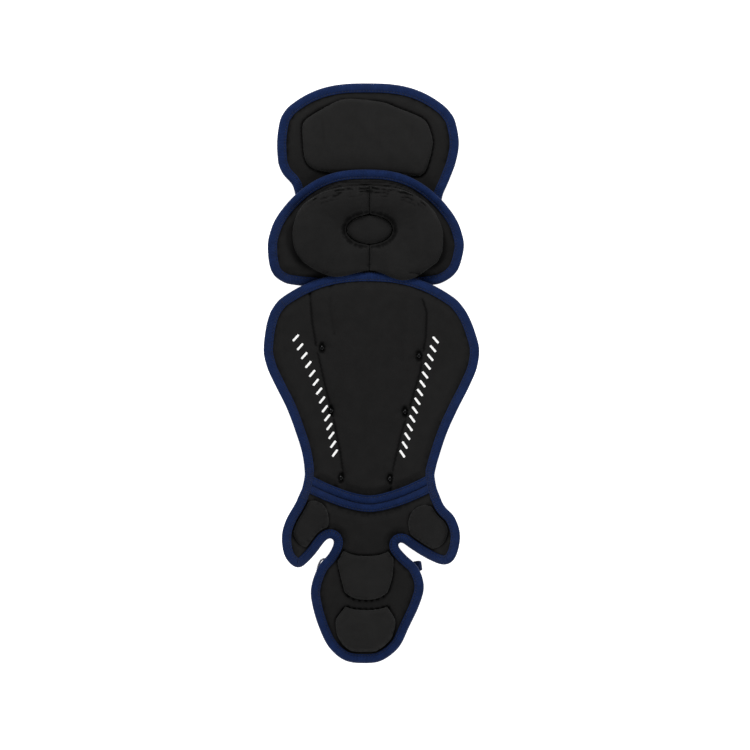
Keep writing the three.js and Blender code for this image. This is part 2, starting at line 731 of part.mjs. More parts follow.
const footLevels = [
  { at: 0, level: ankleHeight },
  { at: 0.2, level: ankleHeight },
  { at: 0.45, level: 0.72 * ankleHeight },
  { at: 0.68, level: 0.22 * ankleHeight },
  { at: 0.82, level: 0 },
  { at: 1, level: 0 },
].map(({ at, level }) => ({ at, level: restLevel + level }));
const footPad = padOf({ outline: footOutline(), top: seam, length: footLength, levels: footLevels });

const ankleOvals = {
  left: { x: -75.5, y: seam - 24.5, width: 43, length: 59, tilt: -14 },
  right: { x: 70.5, y: seam - 28.5, width: 47, length: 56, tilt: 25 },
};
const instepUpperRows = [
  { at: -0.136, left: -0.82, right: 0.9 },
  { at: 0.09, left: -1, right: 1 },
  { at: 0.43, left: -0.9, right: 0.97 },
  { at: 0.82, left: -0.75, right: 0.8 },
];
const instepLowerRows = [
  { at: -0.08, left: -0.65, right: 0.7 },
  { at: 0.28, left: -0.96, right: 0.96 },
  { at: 0.56, left: -0.91, right: 0.88 },
  { at: 0.78, left: -0.75, right: 0.76 },
];
const instepX = -7.5;
const instepUpperTop = seam - 0.325 * footLength;
const instepLowerTop = toe + instepToToe + instepLowerLength;
const instepUpper = rowOutline({
  rows: instepUpperRows,
  length: instepUpperLength,
  width: instepUpperWidth,
  top: instepUpperTop,
});
const instepLower = rowOutline({
  rows: instepLowerRows,
  length: instepLowerLength,
  width: instepLowerWidth,
  top: instepLowerTop,
});

// Rivets hold the shin pad to its shell. Each sits in a dimple and passes through both.
const rivetPlaces = [
  { at: 0.328, across: -0.461 },
  { at: 0.362, across: 0.442 },
  { at: 0.599, across: -0.377 },
  { at: 0.603, across: 0.312 },
  { at: 0.888, across: -0.284 },
  { at: 0.892, across: 0.172 },
].map(({ at, across }) => new THREE.Vector2((across * shinWidth) / 2, shinTop - at * shinLength));

const lathe = (profile) => solidFrom(
  new THREE.LatheGeometry(profile.map(([r, z]) => new THREE.Vector2(r, z)), rivetSides).rotateX(Math.PI / 2),
);

function rivetAt(place) {
  const seat = shinPad.front(place) - dimpleDepth;
  const foot = shinPad.base(place) - edgeHalf - shellGap - shellThickness - gap;
  const rivet = lathe([
    [0, foot - rivetHeadHeight],
    [rivetHeadRadius, foot - 0.6 * rivetHeadHeight],
    [rivetHeadRadius, foot],
    [rivetShankRadius, foot],
    [rivetShankRadius, seat + gap],
    [rivetHeadRadius, seat + gap],
    [0.7 * rivetHeadRadius, seat + gap + 0.8 * rivetHeadHeight],
    [0, seat + gap + rivetHeadHeight],
  ]);
  const reach = rivetHeadRadius + gap;
  const pocket = lathe([
    [0, foot - 8],
    [reach, foot - 8],
    [reach, foot + gap],
    [rivetShankRadius + gap, foot + gap],
    [rivetShankRadius + gap, seat],
    [reach, seat],
    [dimpleRadius, seat + 1.6 * dimpleDepth],
    [0, seat + 1.6 * dimpleDepth],
  ]);
  const lift = [place.x, place.y, 0];
  return { rivet: rivet.translate(lift), pocket: pocket.translate(lift) };
}
const rivets = rivetPlaces.map(rivetAt);
const pierced = (solid) => rivets.reduce((rest, { pocket }) => rest.subtract(pocket), solid);

const kneeShell = shellOf(kneePad, { from: kneeTop - 0.37 * kneeLength, to: -Infinity });
const shinShell = shellOf(shinPad, { from: shinTop - kneeTuck - 10, to: -Infinity });
const footShell = shellOf(footPad, { from: Infinity, to: -Infinity });
const thighShell = shellOf(thighPad, { from: Infinity, to: kneeTop + 4, clearance: 0.6 * shellGap });

// Ring and webbing at the ankle, sewn under the pad's edge
function webbing({ x, down, turn, tail, eye }) {
  const y = seam - down;
  const cloth = webbingCloth;
  const outer = eye / 2 + cloth;
  const shape = new THREE.Shape();
  shape.absarc(0, -outer, outer, -Math.PI / 2, Math.PI / 2, false);
  shape.lineTo(-tail, 0);
  shape.lineTo(-tail, -cloth);
  shape.lineTo(-outer, -cloth);
  shape.lineTo(-outer, -2 * outer);
  shape.closePath();
  const hole = new THREE.Path();
  hole.absarc(0, -outer, eye / 2, 0, 2 * Math.PI, true);
  shape.holes.push(hole);
  const strap = new THREE.ExtrudeGeometry(shape, {
    depth: webbingWidth,
    bevelEnabled: false,
    curveSegments: 5,
  });
  strap.translate(0, 0, -webbingWidth / 2).rotateX(Math.PI / 2);
  strap.rotateZ(THREE.MathUtils.degToRad(turn));
  const inward = new THREE.Vector2(-tail, 0).rotateAround(new THREE.Vector2(), THREE.MathUtils.degToRad(turn));
  const side = new THREE.Vector2(-inward.y, inward.x).setLength(webbingWidth / 2);
  const spots = [0, 1].flatMap((share) => [-1, 1].map((way) => {
    return new THREE.Vector2(x, y).addScaledVector(inward, share).addScaledVector(side, way);
  }));
  const shellFace = Math.min(...spots.map((spot) => footPad.base(spot))) - edgeHalf - shellGap - shellThickness;
  const height = shellFace - gap;
  return { strap: strap.translate(x, y, height), centre: new THREE.Vector3(x, y, height - outer) };
}

function ringGeometry() {
  const ring = new THREE.TorusGeometry(ringWidth / 2 - ringWire / 2, ringWire / 2, 6, 16);
  const positions = ring.attributes.position;
  for (let i = 0; i < positions.count; i += 1) {
    const x = positions.getX(i);
    const y = positions.getY(i);
    const angle = Math.atan2(y, x);
    const square = 1 / (Math.abs(Math.cos(angle)) ** 4 + Math.abs(Math.sin(angle)) ** 4) ** 0.25;
    positions.setXY(i, x * square, y * square);
  }
  return ring;
}

// Materials and the assembly
const cloth = () => new THREE.MeshStandardMaterial({ color: 0x17171a, roughness: 0.9, metalness: 0 });
const tape = () => new THREE.MeshStandardMaterial({ color: 0x14204c, roughness: 0.85, metalness: 0 });
const plastic = () => new THREE.MeshStandardMaterial({ color: 0x131c40, roughness: 0.35, metalness: 0 });
const steel = () => new THREE.MeshStandardMaterial({ color: 0xb9bcc0, roughness: 0.3, metalness: 1 });

const group = new THREE.Group();
function add(name, piece, material) {
  const geometry = piece.isBufferGeometry ? piece : geometryFrom(piece);
  const mesh = new THREE.Mesh(geometry, material);
  mesh.name = name;
  group.add(mesh);
  return mesh;
}

add('thigh_pad', thighPad.solid, cloth());
add('knee_pad', kneePad.solid, cloth());
add('shin_pad', pierced(shinPad.solid), cloth());
add('foot_pad', footPad.solid, cloth());
add('thigh_binding', bindingOf(thighPad), tape());
add('knee_binding', bindingOf(kneePad), tape());
add('shin_binding', bindingOf(shinPad), tape());
add('foot_binding', bindingOf(footPad), tape());
add('thigh_cushion', cushionOn(thighPad, thighCushionOutline, thighCushionHeight, thighCushionStep), cloth());
add('knee_cushion_left', lobeOn(-1), cloth());
add('knee_cushion_right', lobeOn(1), cloth());
add('knee_button', kneeButton(), cloth());
add('ankle_cushion_left', cushionOn(footPad, oval(ankleOvals.left), ankleCushionHeight), cloth());
add('ankle_cushion_right', cushionOn(footPad, oval(ankleOvals.right), ankleCushionHeight), cloth());
add('instep_cushion_upper', cushionOn(footPad, moved(instepUpper, instepX, 0), instepCushionHeight), cloth());
add('instep_cushion_lower', cushionOn(footPad, moved(instepLower, instepX, 0), instepCushionHeight), cloth());
add('thigh_shell', thighShell, plastic());
add('knee_shell', kneeShell, plastic());
add('shin_shell', pierced(shinShell), plastic());
add('foot_shell', footShell, plastic());
rivets.forEach(({ rivet }, i) => add(`shin_rivet_${i + 1}`, rivet, steel()));

const ringEye = ringWire + 2.4; // room for the ring's slightly bowed side
const leftLoop = webbing({ ...leftTab, eye: ringEye });
const rightLoop = webbing({ ...rightTab, eye: ringEye });
add('ankle_tab_left', leftLoop.strap, tape());
add('ankle_tab_right', rightLoop.strap, tape());
const ring = add('ankle_ring', ringGeometry(), steel());
ring.rotation.z = THREE.MathUtils.degToRad(leftTab.turn);
const ringReach = ringWidth / 2 - ringWire / 2;
ring.position.copy(leftLoop.centre);
ring.position.x += (ringReach - gap) * Math.cos(ring.rotation.z);
ring.position.y += (ringReach - gap) * Math.sin(ring.rotation.z);

export default group;
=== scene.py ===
# %% [markdown]
# # A catcher's leg guard, seen from its padded side
# The guard is four sewn pads that follow each other down the leg: thigh, knee, shin and foot. Each pad
# is black cloth over foam, moulded into raised cushions, bound with navy tape, with a hard shell below.
# The CAD model fixes every place and size. This lesson dresses it: each soft piece is built again from
# the same few formulas, but finely enough to carry grooves, gathers, creases and stitches.

import math

import bpy
import numpy as np
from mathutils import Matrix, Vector
from mathutils.geometry import delaunay_2d_cdt


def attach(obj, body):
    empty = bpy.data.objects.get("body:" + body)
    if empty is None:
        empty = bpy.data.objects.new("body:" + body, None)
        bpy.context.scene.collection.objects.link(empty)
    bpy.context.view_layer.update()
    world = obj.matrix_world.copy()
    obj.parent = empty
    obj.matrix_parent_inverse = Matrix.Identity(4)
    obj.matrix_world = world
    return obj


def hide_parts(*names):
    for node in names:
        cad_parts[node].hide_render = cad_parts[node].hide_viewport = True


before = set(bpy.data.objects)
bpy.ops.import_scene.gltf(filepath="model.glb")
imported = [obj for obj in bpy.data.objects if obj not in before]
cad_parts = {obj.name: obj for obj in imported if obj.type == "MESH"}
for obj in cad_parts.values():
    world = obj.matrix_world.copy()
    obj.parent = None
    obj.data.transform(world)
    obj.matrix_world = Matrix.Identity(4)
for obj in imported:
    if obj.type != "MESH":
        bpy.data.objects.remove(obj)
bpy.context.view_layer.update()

# %% [markdown]
# ## Sizes
# The guard's own sizes come first, in millimetres, because a maker thinks in them: how long and how wide
# each pad is, how far one pad reaches under the next, and how high the wings rise. X runs across the
# leg, Y from the toe to the thigh, and Z up from the floor that the shells lie on.

# %% The guard's sizes
MM = 0.001

thigh_length, knee_length, shin_length, foot_length = 146, 148, 290, 200
thigh_tuck, knee_tuck = 38, 20
thigh_width, knee_width, shin_width, ankle_width, toe_width = 228, 245, 268.8, 223, 141
thigh_rise, knee_rise, shin_rise, ankle_rise, toe_rise = 22, 56, 46, 54, 16
knee_cup, shin_arch, ankle_height, channel_dish = 21, 4, 24, 5

pad_thickness, edge_thickness = 12, 6
binding_width, binding_cloth, binding_gap = 10.5, 1.6, 0.5
shell_thickness, shell_inset, shell_gap, gap = 3, 14.5, 1.5, 0.3

edge_half = edge_thickness / 2
band_half = edge_half + binding_gap + binding_cloth
nose_out = binding_gap + binding_cloth
rest_level = shell_thickness + shell_gap + edge_half

guard_length = foot_length + shin_length - knee_tuck + knee_length - thigh_tuck + thigh_length
thigh_top = guard_length / 2
knee_top = thigh_top - thigh_length + thigh_tuck
shin_top = knee_top - knee_length + knee_tuck
seam = shin_top - shin_length
toe = seam - foot_length
print("the guard is", guard_length, "mm long, its seam at y =", seam)

# %% [markdown]
# ## The leg form
# All pads are bent to one leg: a channel along the middle, and wings that rise at the sides. A table with
# a row per place down the leg holds the channel's edges, the half width and the rise. Between its rows a
# smooth curve that never overshoots gives every value, so the pads can't ripple where the table is thin.

# %% Tables and the curve through their rows
def table(columns, *rows):
    values = np.array(rows, float)
    return {name: values[:, i] for i, name in enumerate(columns.split())}


def along(rows, column, at):
    x, y = rows["at"], rows[column]
    step = np.diff(x)
    slope = np.diff(y) / step
    before, after = slope[:-1], slope[1:]
    same = before * after > 0
    inner = np.where(same, 2 * before * after / np.where(same, before + after, 1), 0)
    tangent = np.concatenate([slope[:1], inner, slope[-1:]])
    at = np.asarray(at, float)
    i = np.clip(np.searchsorted(x, at, side="right") - 1, 0, len(x) - 2)
    t = np.clip((at - x[i]) / step[i], 0, 1)
    leave = t * (1 - t) ** 2 * step[i] * tangent[i]
    arrive = t * t * (1 - t) * step[i] * tangent[i + 1]
    return y[i] + (y[i + 1] - y[i]) * t * t * (3 - 2 * t) + leave - arrive


def smooth(t):
    t = np.clip(t, 0, 1)
    return t * t * (3 - 2 * t)


print("a quarter of the way along, a smooth step has risen by", float(smooth(0.25)))

# %% The leg form
thigh_half, knee_half, shin_half = thigh_width / 2, knee_width / 2, shin_width / 2
ankle_half, toe_half = ankle_width / 2, toe_width / 2
form = table(
    "at left right half rise dish",
    (0, 0.5 * thigh_half, 0.5 * thigh_half, thigh_half, 0.7 * thigh_rise, 0.6 * channel_dish),
    (0.5 * thigh_length, 0.48 * thigh_half, 0.48 * thigh_half, thigh_half, thigh_rise, 0.6 * channel_dish),
    (thigh_top - knee_top + 0.25 * knee_length, 0.42 * knee_half, 0.42 * knee_half, 0.97 * knee_half,
     0.66 * knee_rise, 0.3 * channel_dish),
    (thigh_top - knee_top + 0.5 * knee_length, 0.34 * knee_half, 0.34 * knee_half, knee_half, knee_rise, 0),
    (thigh_top - knee_top + 0.78 * knee_length, 0.36 * knee_half, 0.36 * knee_half, knee_half,
     0.96 * knee_rise, 0),
    (thigh_top - shin_top + 0.06 * shin_length, 0.57 * shin_half, 0.49 * shin_half, 0.93 * shin_half,
     0.95 * shin_rise, channel_dish),
    (thigh_top - shin_top + 0.34 * shin_length, 0.51 * shin_half, 0.5 * shin_half, shin_half,
     shin_rise, channel_dish),
    (thigh_top - shin_top + 0.68 * shin_length, 0.34 * shin_half, 0.29 * shin_half, 0.69 * shin_half,
     0.76 * shin_rise, 0.7 * channel_dish),
    (thigh_top - seam - 0.04 * shin_length, 0.26 * shin_half, 0.2 * shin_half, 0.62 * shin_half,
     0.74 * shin_rise, 0.4 * channel_dish),
    (thigh_top - seam + 0.2 * foot_length, 0.3 * ankle_half, 0.27 * ankle_half, ankle_half,
     ankle_rise, 0.3 * channel_dish),
    (thigh_top - seam + 0.46 * foot_length, 0.44 * toe_half, 0.44 * toe_half, toe_half,
     1.1 * toe_rise, 0.1 * channel_dish),
    (thigh_top - seam + 0.78 * foot_length, 0.4 * toe_half, 0.4 * toe_half, toe_half, 0.9 * toe_rise, 0),
    (guard_length, 0.36 * toe_half, 0.36 * toe_half, toe_half, 0.6 * toe_rise, 0),
)
soft_rise = 0.45
bend_softness = 0.12


def leg_form(p):
    at = thigh_top - p[:, 1]
    channel = np.where(p[:, 0] < 0, along(form, "left", at), along(form, "right", at))
    out = np.abs(p[:, 0])
    wing = (out - channel) / (along(form, "half", at) - channel)
    wing = (wing + np.sqrt(wing**2 + bend_softness**2)) / 2
    dish = along(form, "dish", at) * np.minimum(1, out / channel) ** 2
    return dish + along(form, "rise", at) * (soft_rise * wing + (1 - soft_rise) * wing**2)


print("wing height beside the knee:", round(float(leg_form(np.array([[knee_half, 160.0]]))[0]), 1), "mm")

# %% [markdown]
# ## Outlines
# A pad starts as a flat pattern, as it does on a cutting table. Its outline is a closed loop of points.
# The helpers space the points evenly, measure how far in from the edge a point lies, and draw a loop
# inwards, which is all that a pad, its binding and its stitches need.

# %% Space the points of a line evenly
def resample(loop, step, closed=True):
    ring = np.vstack([loop, loop[:1]]) if closed else np.asarray(loop, float)
    lengths = np.concatenate([[0], np.cumsum(np.hypot(*np.diff(ring, axis=0)[:, :2].T))])
    count = max(3, round(lengths[-1] / step))
    want = np.linspace(0, lengths[-1], count + 1)
    if closed:
        want = want[:-1]
    return np.column_stack([np.interp(want, lengths, ring[:, k]) for k in range(ring.shape[1])])


square = np.array([(0, 0), (10, 0), (10, 10), (0, 10)], float)
print("a 10 mm square at 2 mm steps has", len(resample(square, 2)), "points")


# %% How far a point lies from a line, and on which side
def line_way(line, p, closed=False):
    start = np.asarray(line, float)
    end = np.roll(start, -1, axis=0) if closed else start[1:]
    start = start if closed else start[:-1]
    run = end - start
    long = np.hypot(*run.T)
    passed = np.concatenate([[0], np.cumsum(long)[:-1]])
    off, at = np.empty(len(p)), np.empty(len(p))
    for first in range(0, len(p), 2000):
        part = p[first : first + 2000, None, :2]
        share = np.clip(((part - start) * run).sum(2) / np.maximum(long**2, 1e-12), 0, 1)
        away = np.hypot(*np.moveaxis(part - start - share[..., None] * run, 2, 0))
        best = away.argmin(1)
        rows = np.arange(len(best))
        off[first : first + 2000] = away[rows, best]
        at[first : first + 2000] = passed[best] + share[rows, best] * long[best]
    return off, at


def line_distance(line, p, closed=False):
    return line_way(line, p, closed)[0]


def is_inside(loop, p):
    x, y = p[:, 0], p[:, 1]
    inside = np.zeros(len(p), bool)
    for a, b in zip(loop, np.roll(loop, -1, axis=0)):
        if a[1] != b[1]:
            crosses = (a[1] > y) != (b[1] > y)
            inside ^= crosses & (x < a[0] + (b[0] - a[0]) * (y - a[1]) / (b[1] - a[1]))
    return inside


middle = np.array([[5.0, 5.0]])
print("the square's middle is inside:", bool(is_inside(square, middle)[0]), "and",
      float(line_distance(square, middle, closed=True)[0]), "mm from its edge")


# %% Draw a loop inwards, and soften its corners
def inset(loop, distance):
    arrive = loop - np.roll(loop, 1, axis=0)
    leave = np.roll(arrive, -1, axis=0)
    arrive = arrive / np.maximum(np.hypot(*arrive.T), 1e-9)[:, None]
    leave = leave / np.maximum(np.hypot(*leave.T), 1e-9)[:, None]
    path = arrive + leave
    path /= np.maximum(np.hypot(*path.T), 1e-9)[:, None]
    return loop + distance * np.column_stack([-path[:, 1], path[:, 0]])


def softened(loop, rounds):
    for _ in range(rounds):
        loop = 0.5 * loop + 0.25 * (np.roll(loop, 1, axis=0) + np.roll(loop, -1, axis=0))
    return loop


print("drawn in by 1 mm, the square starts at", inset(square, 1.0)[0].round(2))

# %% A pad's outline from rows across it
side_points = 48


def row_outline(rows, length, width, top, crown=2.6, heel=2.6, scallop=(0, 0)):
    half = width / 2
    t = np.arange(side_points) / side_points
    first, last = rows["at"][0], rows["at"][-1]

    def side(column, share):
        at = first + (last - first) * share
        return np.column_stack([along(rows, column, at) * half, top - at * length])

    def arch(row, share, middle, shape, drop):
        across = 2 * share - 1
        y = middle + (rows["at"][row] - middle) * np.abs(across) ** shape
        x = (rows["left"][row] + (rows["right"][row] - rows["left"][row]) * share) * half
        hang = np.where(across < 0, drop[0], drop[1])
        return np.column_stack([x, top - y * length - hang * np.sin(np.pi * across) ** 2])

    return np.vstack([
        side("left", t),
        arch(-1, t, 1, heel, scallop),
        side("right", 1 - t),
        arch(0, 1 - t, 0, crown, (0, 0)),
    ])


print("each side of a pad's outline gets", side_points, "points")

# %% The outlines of thigh, knee and shin
thigh_rows = table(
    "at left right",
    (0.214, -0.926, 0.828), (0.316, -1.003, 0.916), (0.521, -1.036, 0.96), (0.675, -1.025, 0.927),
    (0.778, -0.975, 0.88), (0.88, -0.86, 0.826), (0.96, -0.835, 0.78), (1.05, -0.8, 0.76),
)
knee_rows = table(
    "at left right",
    (0.288, -0.862, 0.75), (0.39, -0.954, 0.842), (0.492, -1.015, 0.903), (0.644, -1.056, 0.944),
    (0.746, -1.05, 0.923), (0.847, -1.026, 0.883), (0.915, -0.975, 0.811), (0.966, -0.87, 0.7),
)
shin_rows = table(
    "at left right",
    (0.121, -0.86, 0.795), (0.172, -0.935, 0.879), (0.25, -0.981, 0.953), (0.341, -1, 1),
    (0.405, -0.972, 0.982), (0.483, -0.897, 0.916), (0.586, -0.786, 0.804), (0.69, -0.702, 0.702),
    (0.793, -0.637, 0.628), (0.871, -0.618, 0.585), (0.901, -0.622, 0.581),
)
thigh_outline = row_outline(thigh_rows, thigh_length, thigh_width, thigh_top, crown=2.8)
knee_outline = row_outline(knee_rows, knee_length, knee_width, knee_top, heel=3)
shin_outline = row_outline(shin_rows, shin_length, shin_width, shin_top, crown=2.4, heel=1.6)
print("the shin pad's outline is", round(float(np.ptp(shin_outline[:, 0])), 1), "mm wide")

# %% The foot's outline, with its two wings and its tongue
wing_marks = table(
    "left left_at right right_at",
    (-0.742, 0, 0.69, -0.016), (-0.845, 0.115, 0.803, 0.126), (-0.947, 0.202, 0.925, 0.191),
    (-1, 0.295, 0.99, 0.295), (-0.964, 0.41, 0.936, 0.415), (-0.818, 0.473, 0.813, 0.456),
    (-0.656, 0.413, 0.622, 0.423), (-0.521, 0.328, 0.42, 0.363), (-0.454, 0.309, 0.331, 0.332),
    (-0.417, 0.333, 0.291, 0.35), (-0.476, 0.396, 0.387, 0.407),
)
tongue_marks = table(
    "left left_at right right_at",
    (-0.949, 0.47, 0.824, 0.47), (-1.073, 0.585, 0.931, 0.574), (-1.046, 0.683, 0.851, 0.678),
    (-0.931, 0.803, 0.665, 0.803), (-0.754, 0.913, 0.488, 0.913), (-0.47, 0.986, 0.186, 0.986),
)
seam_rise, seam_gap, seam_tuck = 0.099 * shin_length, 1, 4


def through(points, steps=12):
    before = np.vstack([points[:1], points[:-1]])
    after = np.vstack([points[1:], points[-1:]])
    beyond = np.vstack([points[2:], points[-1:], points[-1:]])
    t = (np.arange(steps) / steps)[:, None, None]
    a, b = 0.5 * (after - before), 0.5 * (beyond - points)
    cubic = (2 * points - 2 * after + a + b) * t**3 + (3 * after - 3 * points - 2 * a - b) * t * t
    path = cubic + a * t + points
    return np.vstack([path.transpose(1, 0, 2)[:-1].reshape(-1, 2), points[-1:]])


def foot_side(side):
    spots = []
    for marks, half in ((wing_marks, ankle_half), (tongue_marks, toe_half)):
        y = seam + seam_rise - marks[side + "_at"] * (foot_length + seam_rise)
        spots.append(np.column_stack([marks[side] * half, y]))
    return np.vstack(spots)


foot_round = through(np.vstack([foot_side("left"), [[-0.115 * toe_half, toe]], foot_side("right")[::-1]]))
under_seam = shin_outline[
    (shin_outline[:, 1] < seam + seam_rise)
    & (shin_outline[:, 0] > foot_round[0, 0] + seam_tuck)
    & (shin_outline[:, 0] < foot_round[-1, 0] - seam_tuck)
]
under_seam = under_seam[np.argsort(-under_seam[:, 0])] - [0, seam_gap]
foot_outline = np.vstack([foot_round, under_seam])
print("outlines:", len(thigh_outline), len(knee_outline), len(shin_outline), len(foot_outline), "points")

# %% [markdown]
# ## Pads
# A pad is thin at its bound edge and swells to its full thickness inside the binding. Its mid-plane is a
# level down its length plus the leg form. Keeping that in one small class lets everything that sits on
# a pad, from a cushion to a stitch, ask it for its height at any point.

# %% The pad class
ramp_width = 9


class Pad:
    def __init__(self, outline, top, length, levels, thin=None):
        fine = resample(outline, 2)
        self.loop = resample(softened(inset(fine, nose_out), 3), 2)
        self.top, self.length, self.levels, self.thin = top, length, levels, thin
        self.details = []

    def base(self, p):
        return along(self.levels, "level", (self.top - p[:, 1]) / self.length) + leg_form(p)

    def way(self, p):
        return line_distance(self.loop, p, closed=True)

    def edge(self, way):
        return edge_half * np.minimum(1, way / binding_width) ** 0.5

    def front(self, p, way=None, details=True):
        way = self.way(p) if way is None else way
        fill = smooth((way - binding_width + 2) / (ramp_width + 2))
        if self.thin is not None:
            fill = fill * self.thin(p)
        height = self.base(p) + self.edge(way) + (pad_thickness - edge_thickness) * fill
        if details:
            for detail in self.details:
                height = height + detail(p, way)
        return height

    def back(self, p, way=None):
        way = self.way(p) if way is None else way
        return self.base(p) - self.edge(way)


print("a pad is", pad_thickness, "mm thick, and", edge_thickness, "mm under its binding")

# %% The levels of the four pads
thigh_low = rest_level + 2.2
thigh_levels = table("at level", (0, thigh_low + 15), (0.45, thigh_low + 6), (0.74, thigh_low + 1.5),
                     (1, thigh_low))
knee_heel = 0.29
knee_levels = table("at level", (0, 1), (0.24, 0.64), (0.42, 0.14), (0.52, 0), (0.76, 0), (0.88, 0.13),
                    (1, knee_heel))
knee_levels["level"] = rest_level + knee_levels["level"] * knee_cup
shin_start = rest_level + knee_heel * knee_cup + band_half + edge_half + gap
shin_levels = table("at level", (0, shin_start), (0.07, shin_start + 0.2 * shin_arch),
                    (0.5, shin_start + shin_arch), (1, rest_level + ankle_height))
foot_levels = table("at level", (0, 1), (0.2, 1), (0.45, 0.72), (0.68, 0.22), (0.82, 0), (1, 0))
foot_levels["level"] = rest_level + foot_levels["level"] * ankle_height

thigh_thin_end = knee_top - 0.1 * knee_length
thigh = Pad(thigh_outline, thigh_top, thigh_length, thigh_levels,
            thin=lambda p: smooth((p[:, 1] - thigh_thin_end) / thigh_tuck))
knee = Pad(knee_outline, knee_top, knee_length, knee_levels)
shin = Pad(shin_outline, shin_top, shin_length, shin_levels)
foot = Pad(foot_outline, seam, foot_length, foot_levels)
print("shin pad starts", round(shin_start, 1), "mm above the floor")

# %% [markdown]
# ## From formulas to meshes
# A height field over a flat pattern makes a clean mesh: even points inside the outline, extra rings of
# points where the edge rounds over, and one Delaunay triangulation used for the top and the underside.
# A voxel remesh would also close the form, but it would blur the grooves that are only 2 mm wide.

# %% An object from points and faces, in millimetres
def new_object(name, verts, faces, uv=None, sharp=50):
    mesh = bpy.data.meshes.new(name)
    mesh.from_pydata((np.asarray(verts) * MM).tolist(), [], [list(map(int, f)) for f in faces])
    mesh.polygons.foreach_set("use_smooth", [True] * len(mesh.polygons))
    if uv is not None:
        layer = mesh.uv_layers.new(name="UVMap")
        corner = np.empty(len(mesh.loops), np.int32)
        mesh.loops.foreach_get("vertex_index", corner)
        layer.data.foreach_set("uv", np.asarray(uv, np.float32)[corner].ravel())
    mesh.set_sharp_from_angle(angle=math.radians(sharp))
    mesh.update()
    piece = bpy.data.objects.new(name, mesh)
    bpy.context.scene.collection.objects.link(piece)
    return piece


# %% Even points inside an outline, with rings along its edge
def lattice(loop, step):
    low, high = loop.min(0), loop.max(0)
    rows = np.arange(low[1], high[1], step * 0.866)
    columns = np.arange(low[0] - step, high[0] + step, step)
    x = columns[None, :] + (np.arange(len(rows)) % 2)[:, None] * step / 2
    y = np.repeat(rows[:, None], len(columns), axis=1)
    return np.column_stack([x.ravel(), y.ravel()])


def pattern(edge, step, rings):
    points, ways = [edge], [np.zeros(len(edge))]
    last = 0.0
    for ring in rings:
        spots = inset(edge, ring)
        true_way = line_distance(edge, spots, closed=True)
        keep = is_inside(edge, spots) & (true_way > 0.93 * ring)
        points.append(spots[keep])
        ways.append(true_way[keep])
        last = ring
    fill = lattice(edge, step)
    fill = fill[is_inside(edge, fill)]
    way = line_distance(edge, fill, closed=True)
    keep = way > last + 0.55 * step
    points.append(fill[keep])
    ways.append(way[keep])
    return np.vstack(points), np.concatenate(ways)


print("a 10 mm square cut at 2 mm steps has", len(pattern(resample(square, 2), 2, ())[0]), "points")

# %% [markdown]
# ## Painted shade in the folds
# Black cloth shows its creases by the light that they swallow more than by their shape. So each vertex
# notes how far it lies below the smoothed skin around it, as an attribute that the cloth's material reads
# to paint shade into its colour. A baked picture could hold the same painted shade, but an attribute stays
# with the mesh and needs no unwrapping.

# %% Note how deep each point lies in a fold, for painted shade
smoothing_rounds, shallow_fold, fold_depth = 6, 0.08, 0.75


def shade_folds(piece):
    mesh = piece.data
    spots = np.empty(len(mesh.vertices) * 3)
    mesh.vertices.foreach_get("co", spots)
    height = spots[2::3] / MM
    ends = np.empty(len(mesh.edges) * 2, np.int32)
    mesh.edges.foreach_get("vertices", ends)
    a, b = ends[::2], ends[1::2]
    count = np.bincount(ends, minlength=len(height))
    level = height.copy()
    for _ in range(smoothing_rounds):
        total = np.bincount(a, level[b], len(level)) + np.bincount(b, level[a], len(level))
        level = 0.5 * level + 0.5 * total / np.maximum(1, count)
    layer = mesh.attributes.get("press") or mesh.attributes.new("press", "FLOAT", "POINT")
    # press is the fold depth that the cloth's material turns into painted shade
    layer.data.foreach_set("value", smooth((level - height - shallow_fold) / fold_depth).astype(np.float32))


print("a fold darkens from", shallow_fold, "to", shallow_fold + fold_depth, "mm deep")


# %% A closed quilt between two height fields
def quilt(name, outline, step, upper, lower, rings=(), sharp=50):
    edge = resample(outline, step)
    p, way = pattern(edge, step, rings)
    size = len(edge)
    border = [(i, (i + 1) % size) for i in range(size)]
    flat, _, faces, *_ = delaunay_2d_cdt([Vector(q) for q in p], border, [], 1, 1e-6)
    if len(flat) != len(p):
        print(name, "lost points in its triangulation:", len(p) - len(flat))
        p = np.array([list(q) for q in flat])
        way = line_distance(edge, p, closed=True)
    top = np.column_stack([p, upper(p, way)])
    bottom = np.column_stack([p, lower(p, way)])
    count = len(p)
    tris = np.array([list(f) for f in faces if len(f) == 3])
    a, b, c = (p[tris[:, k]] for k in range(3))
    left = (b[:, 0] - a[:, 0]) * (c[:, 1] - a[:, 1]) - (b[:, 1] - a[:, 1]) * (c[:, 0] - a[:, 0])
    tris[left < 0] = tris[left < 0][:, ::-1]
    walls = [(i, i + count, j + count, j) for i, j in border]
    piece = new_object(name, np.vstack([top, bottom]),
                       [*tris.tolist(), *(tris[:, ::-1] + count).tolist(), *walls], sharp=sharp)
    shade_folds(piece)
    print(name, len(piece.data.polygons), "faces")
    return piece


# %% [markdown]
# ## Stuffing that swells
# A real cushion is a cloth bag that is sewn down all round and pushed out by its foam. Blender's cloth
# simulation can do the same: the sewn edge is pinned, a little pressure swells the rest, and where the
# cloth is cut too wide it gathers. Sculpting would look as good once, but it would have to be done again
# after each change of size. The result is kept in the mesh, and the simulation is taken off the piece.

# %% Hold the sewn edge, and let the rest swell
def sewn_round(piece, edge, reach):
    spots = np.array([v.co[:] for v in piece.data.vertices]) / MM
    top = np.arange(len(spots)) < len(spots) // 2
    held = 1 - smooth((line_distance(edge, spots[:, :2], closed=True) - 0.5) / reach)
    return spots[:, :2], top, np.where(top, held, 1)


def weight_group(piece, name, weights):
    made = piece.vertex_groups.new(name=name)
    for tenth in range(1, 11):
        chosen = np.flatnonzero(np.round(weights * 10) == tenth)
        made.add(chosen.tolist(), tenth / 10, "REPLACE")


print("cushions swell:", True)


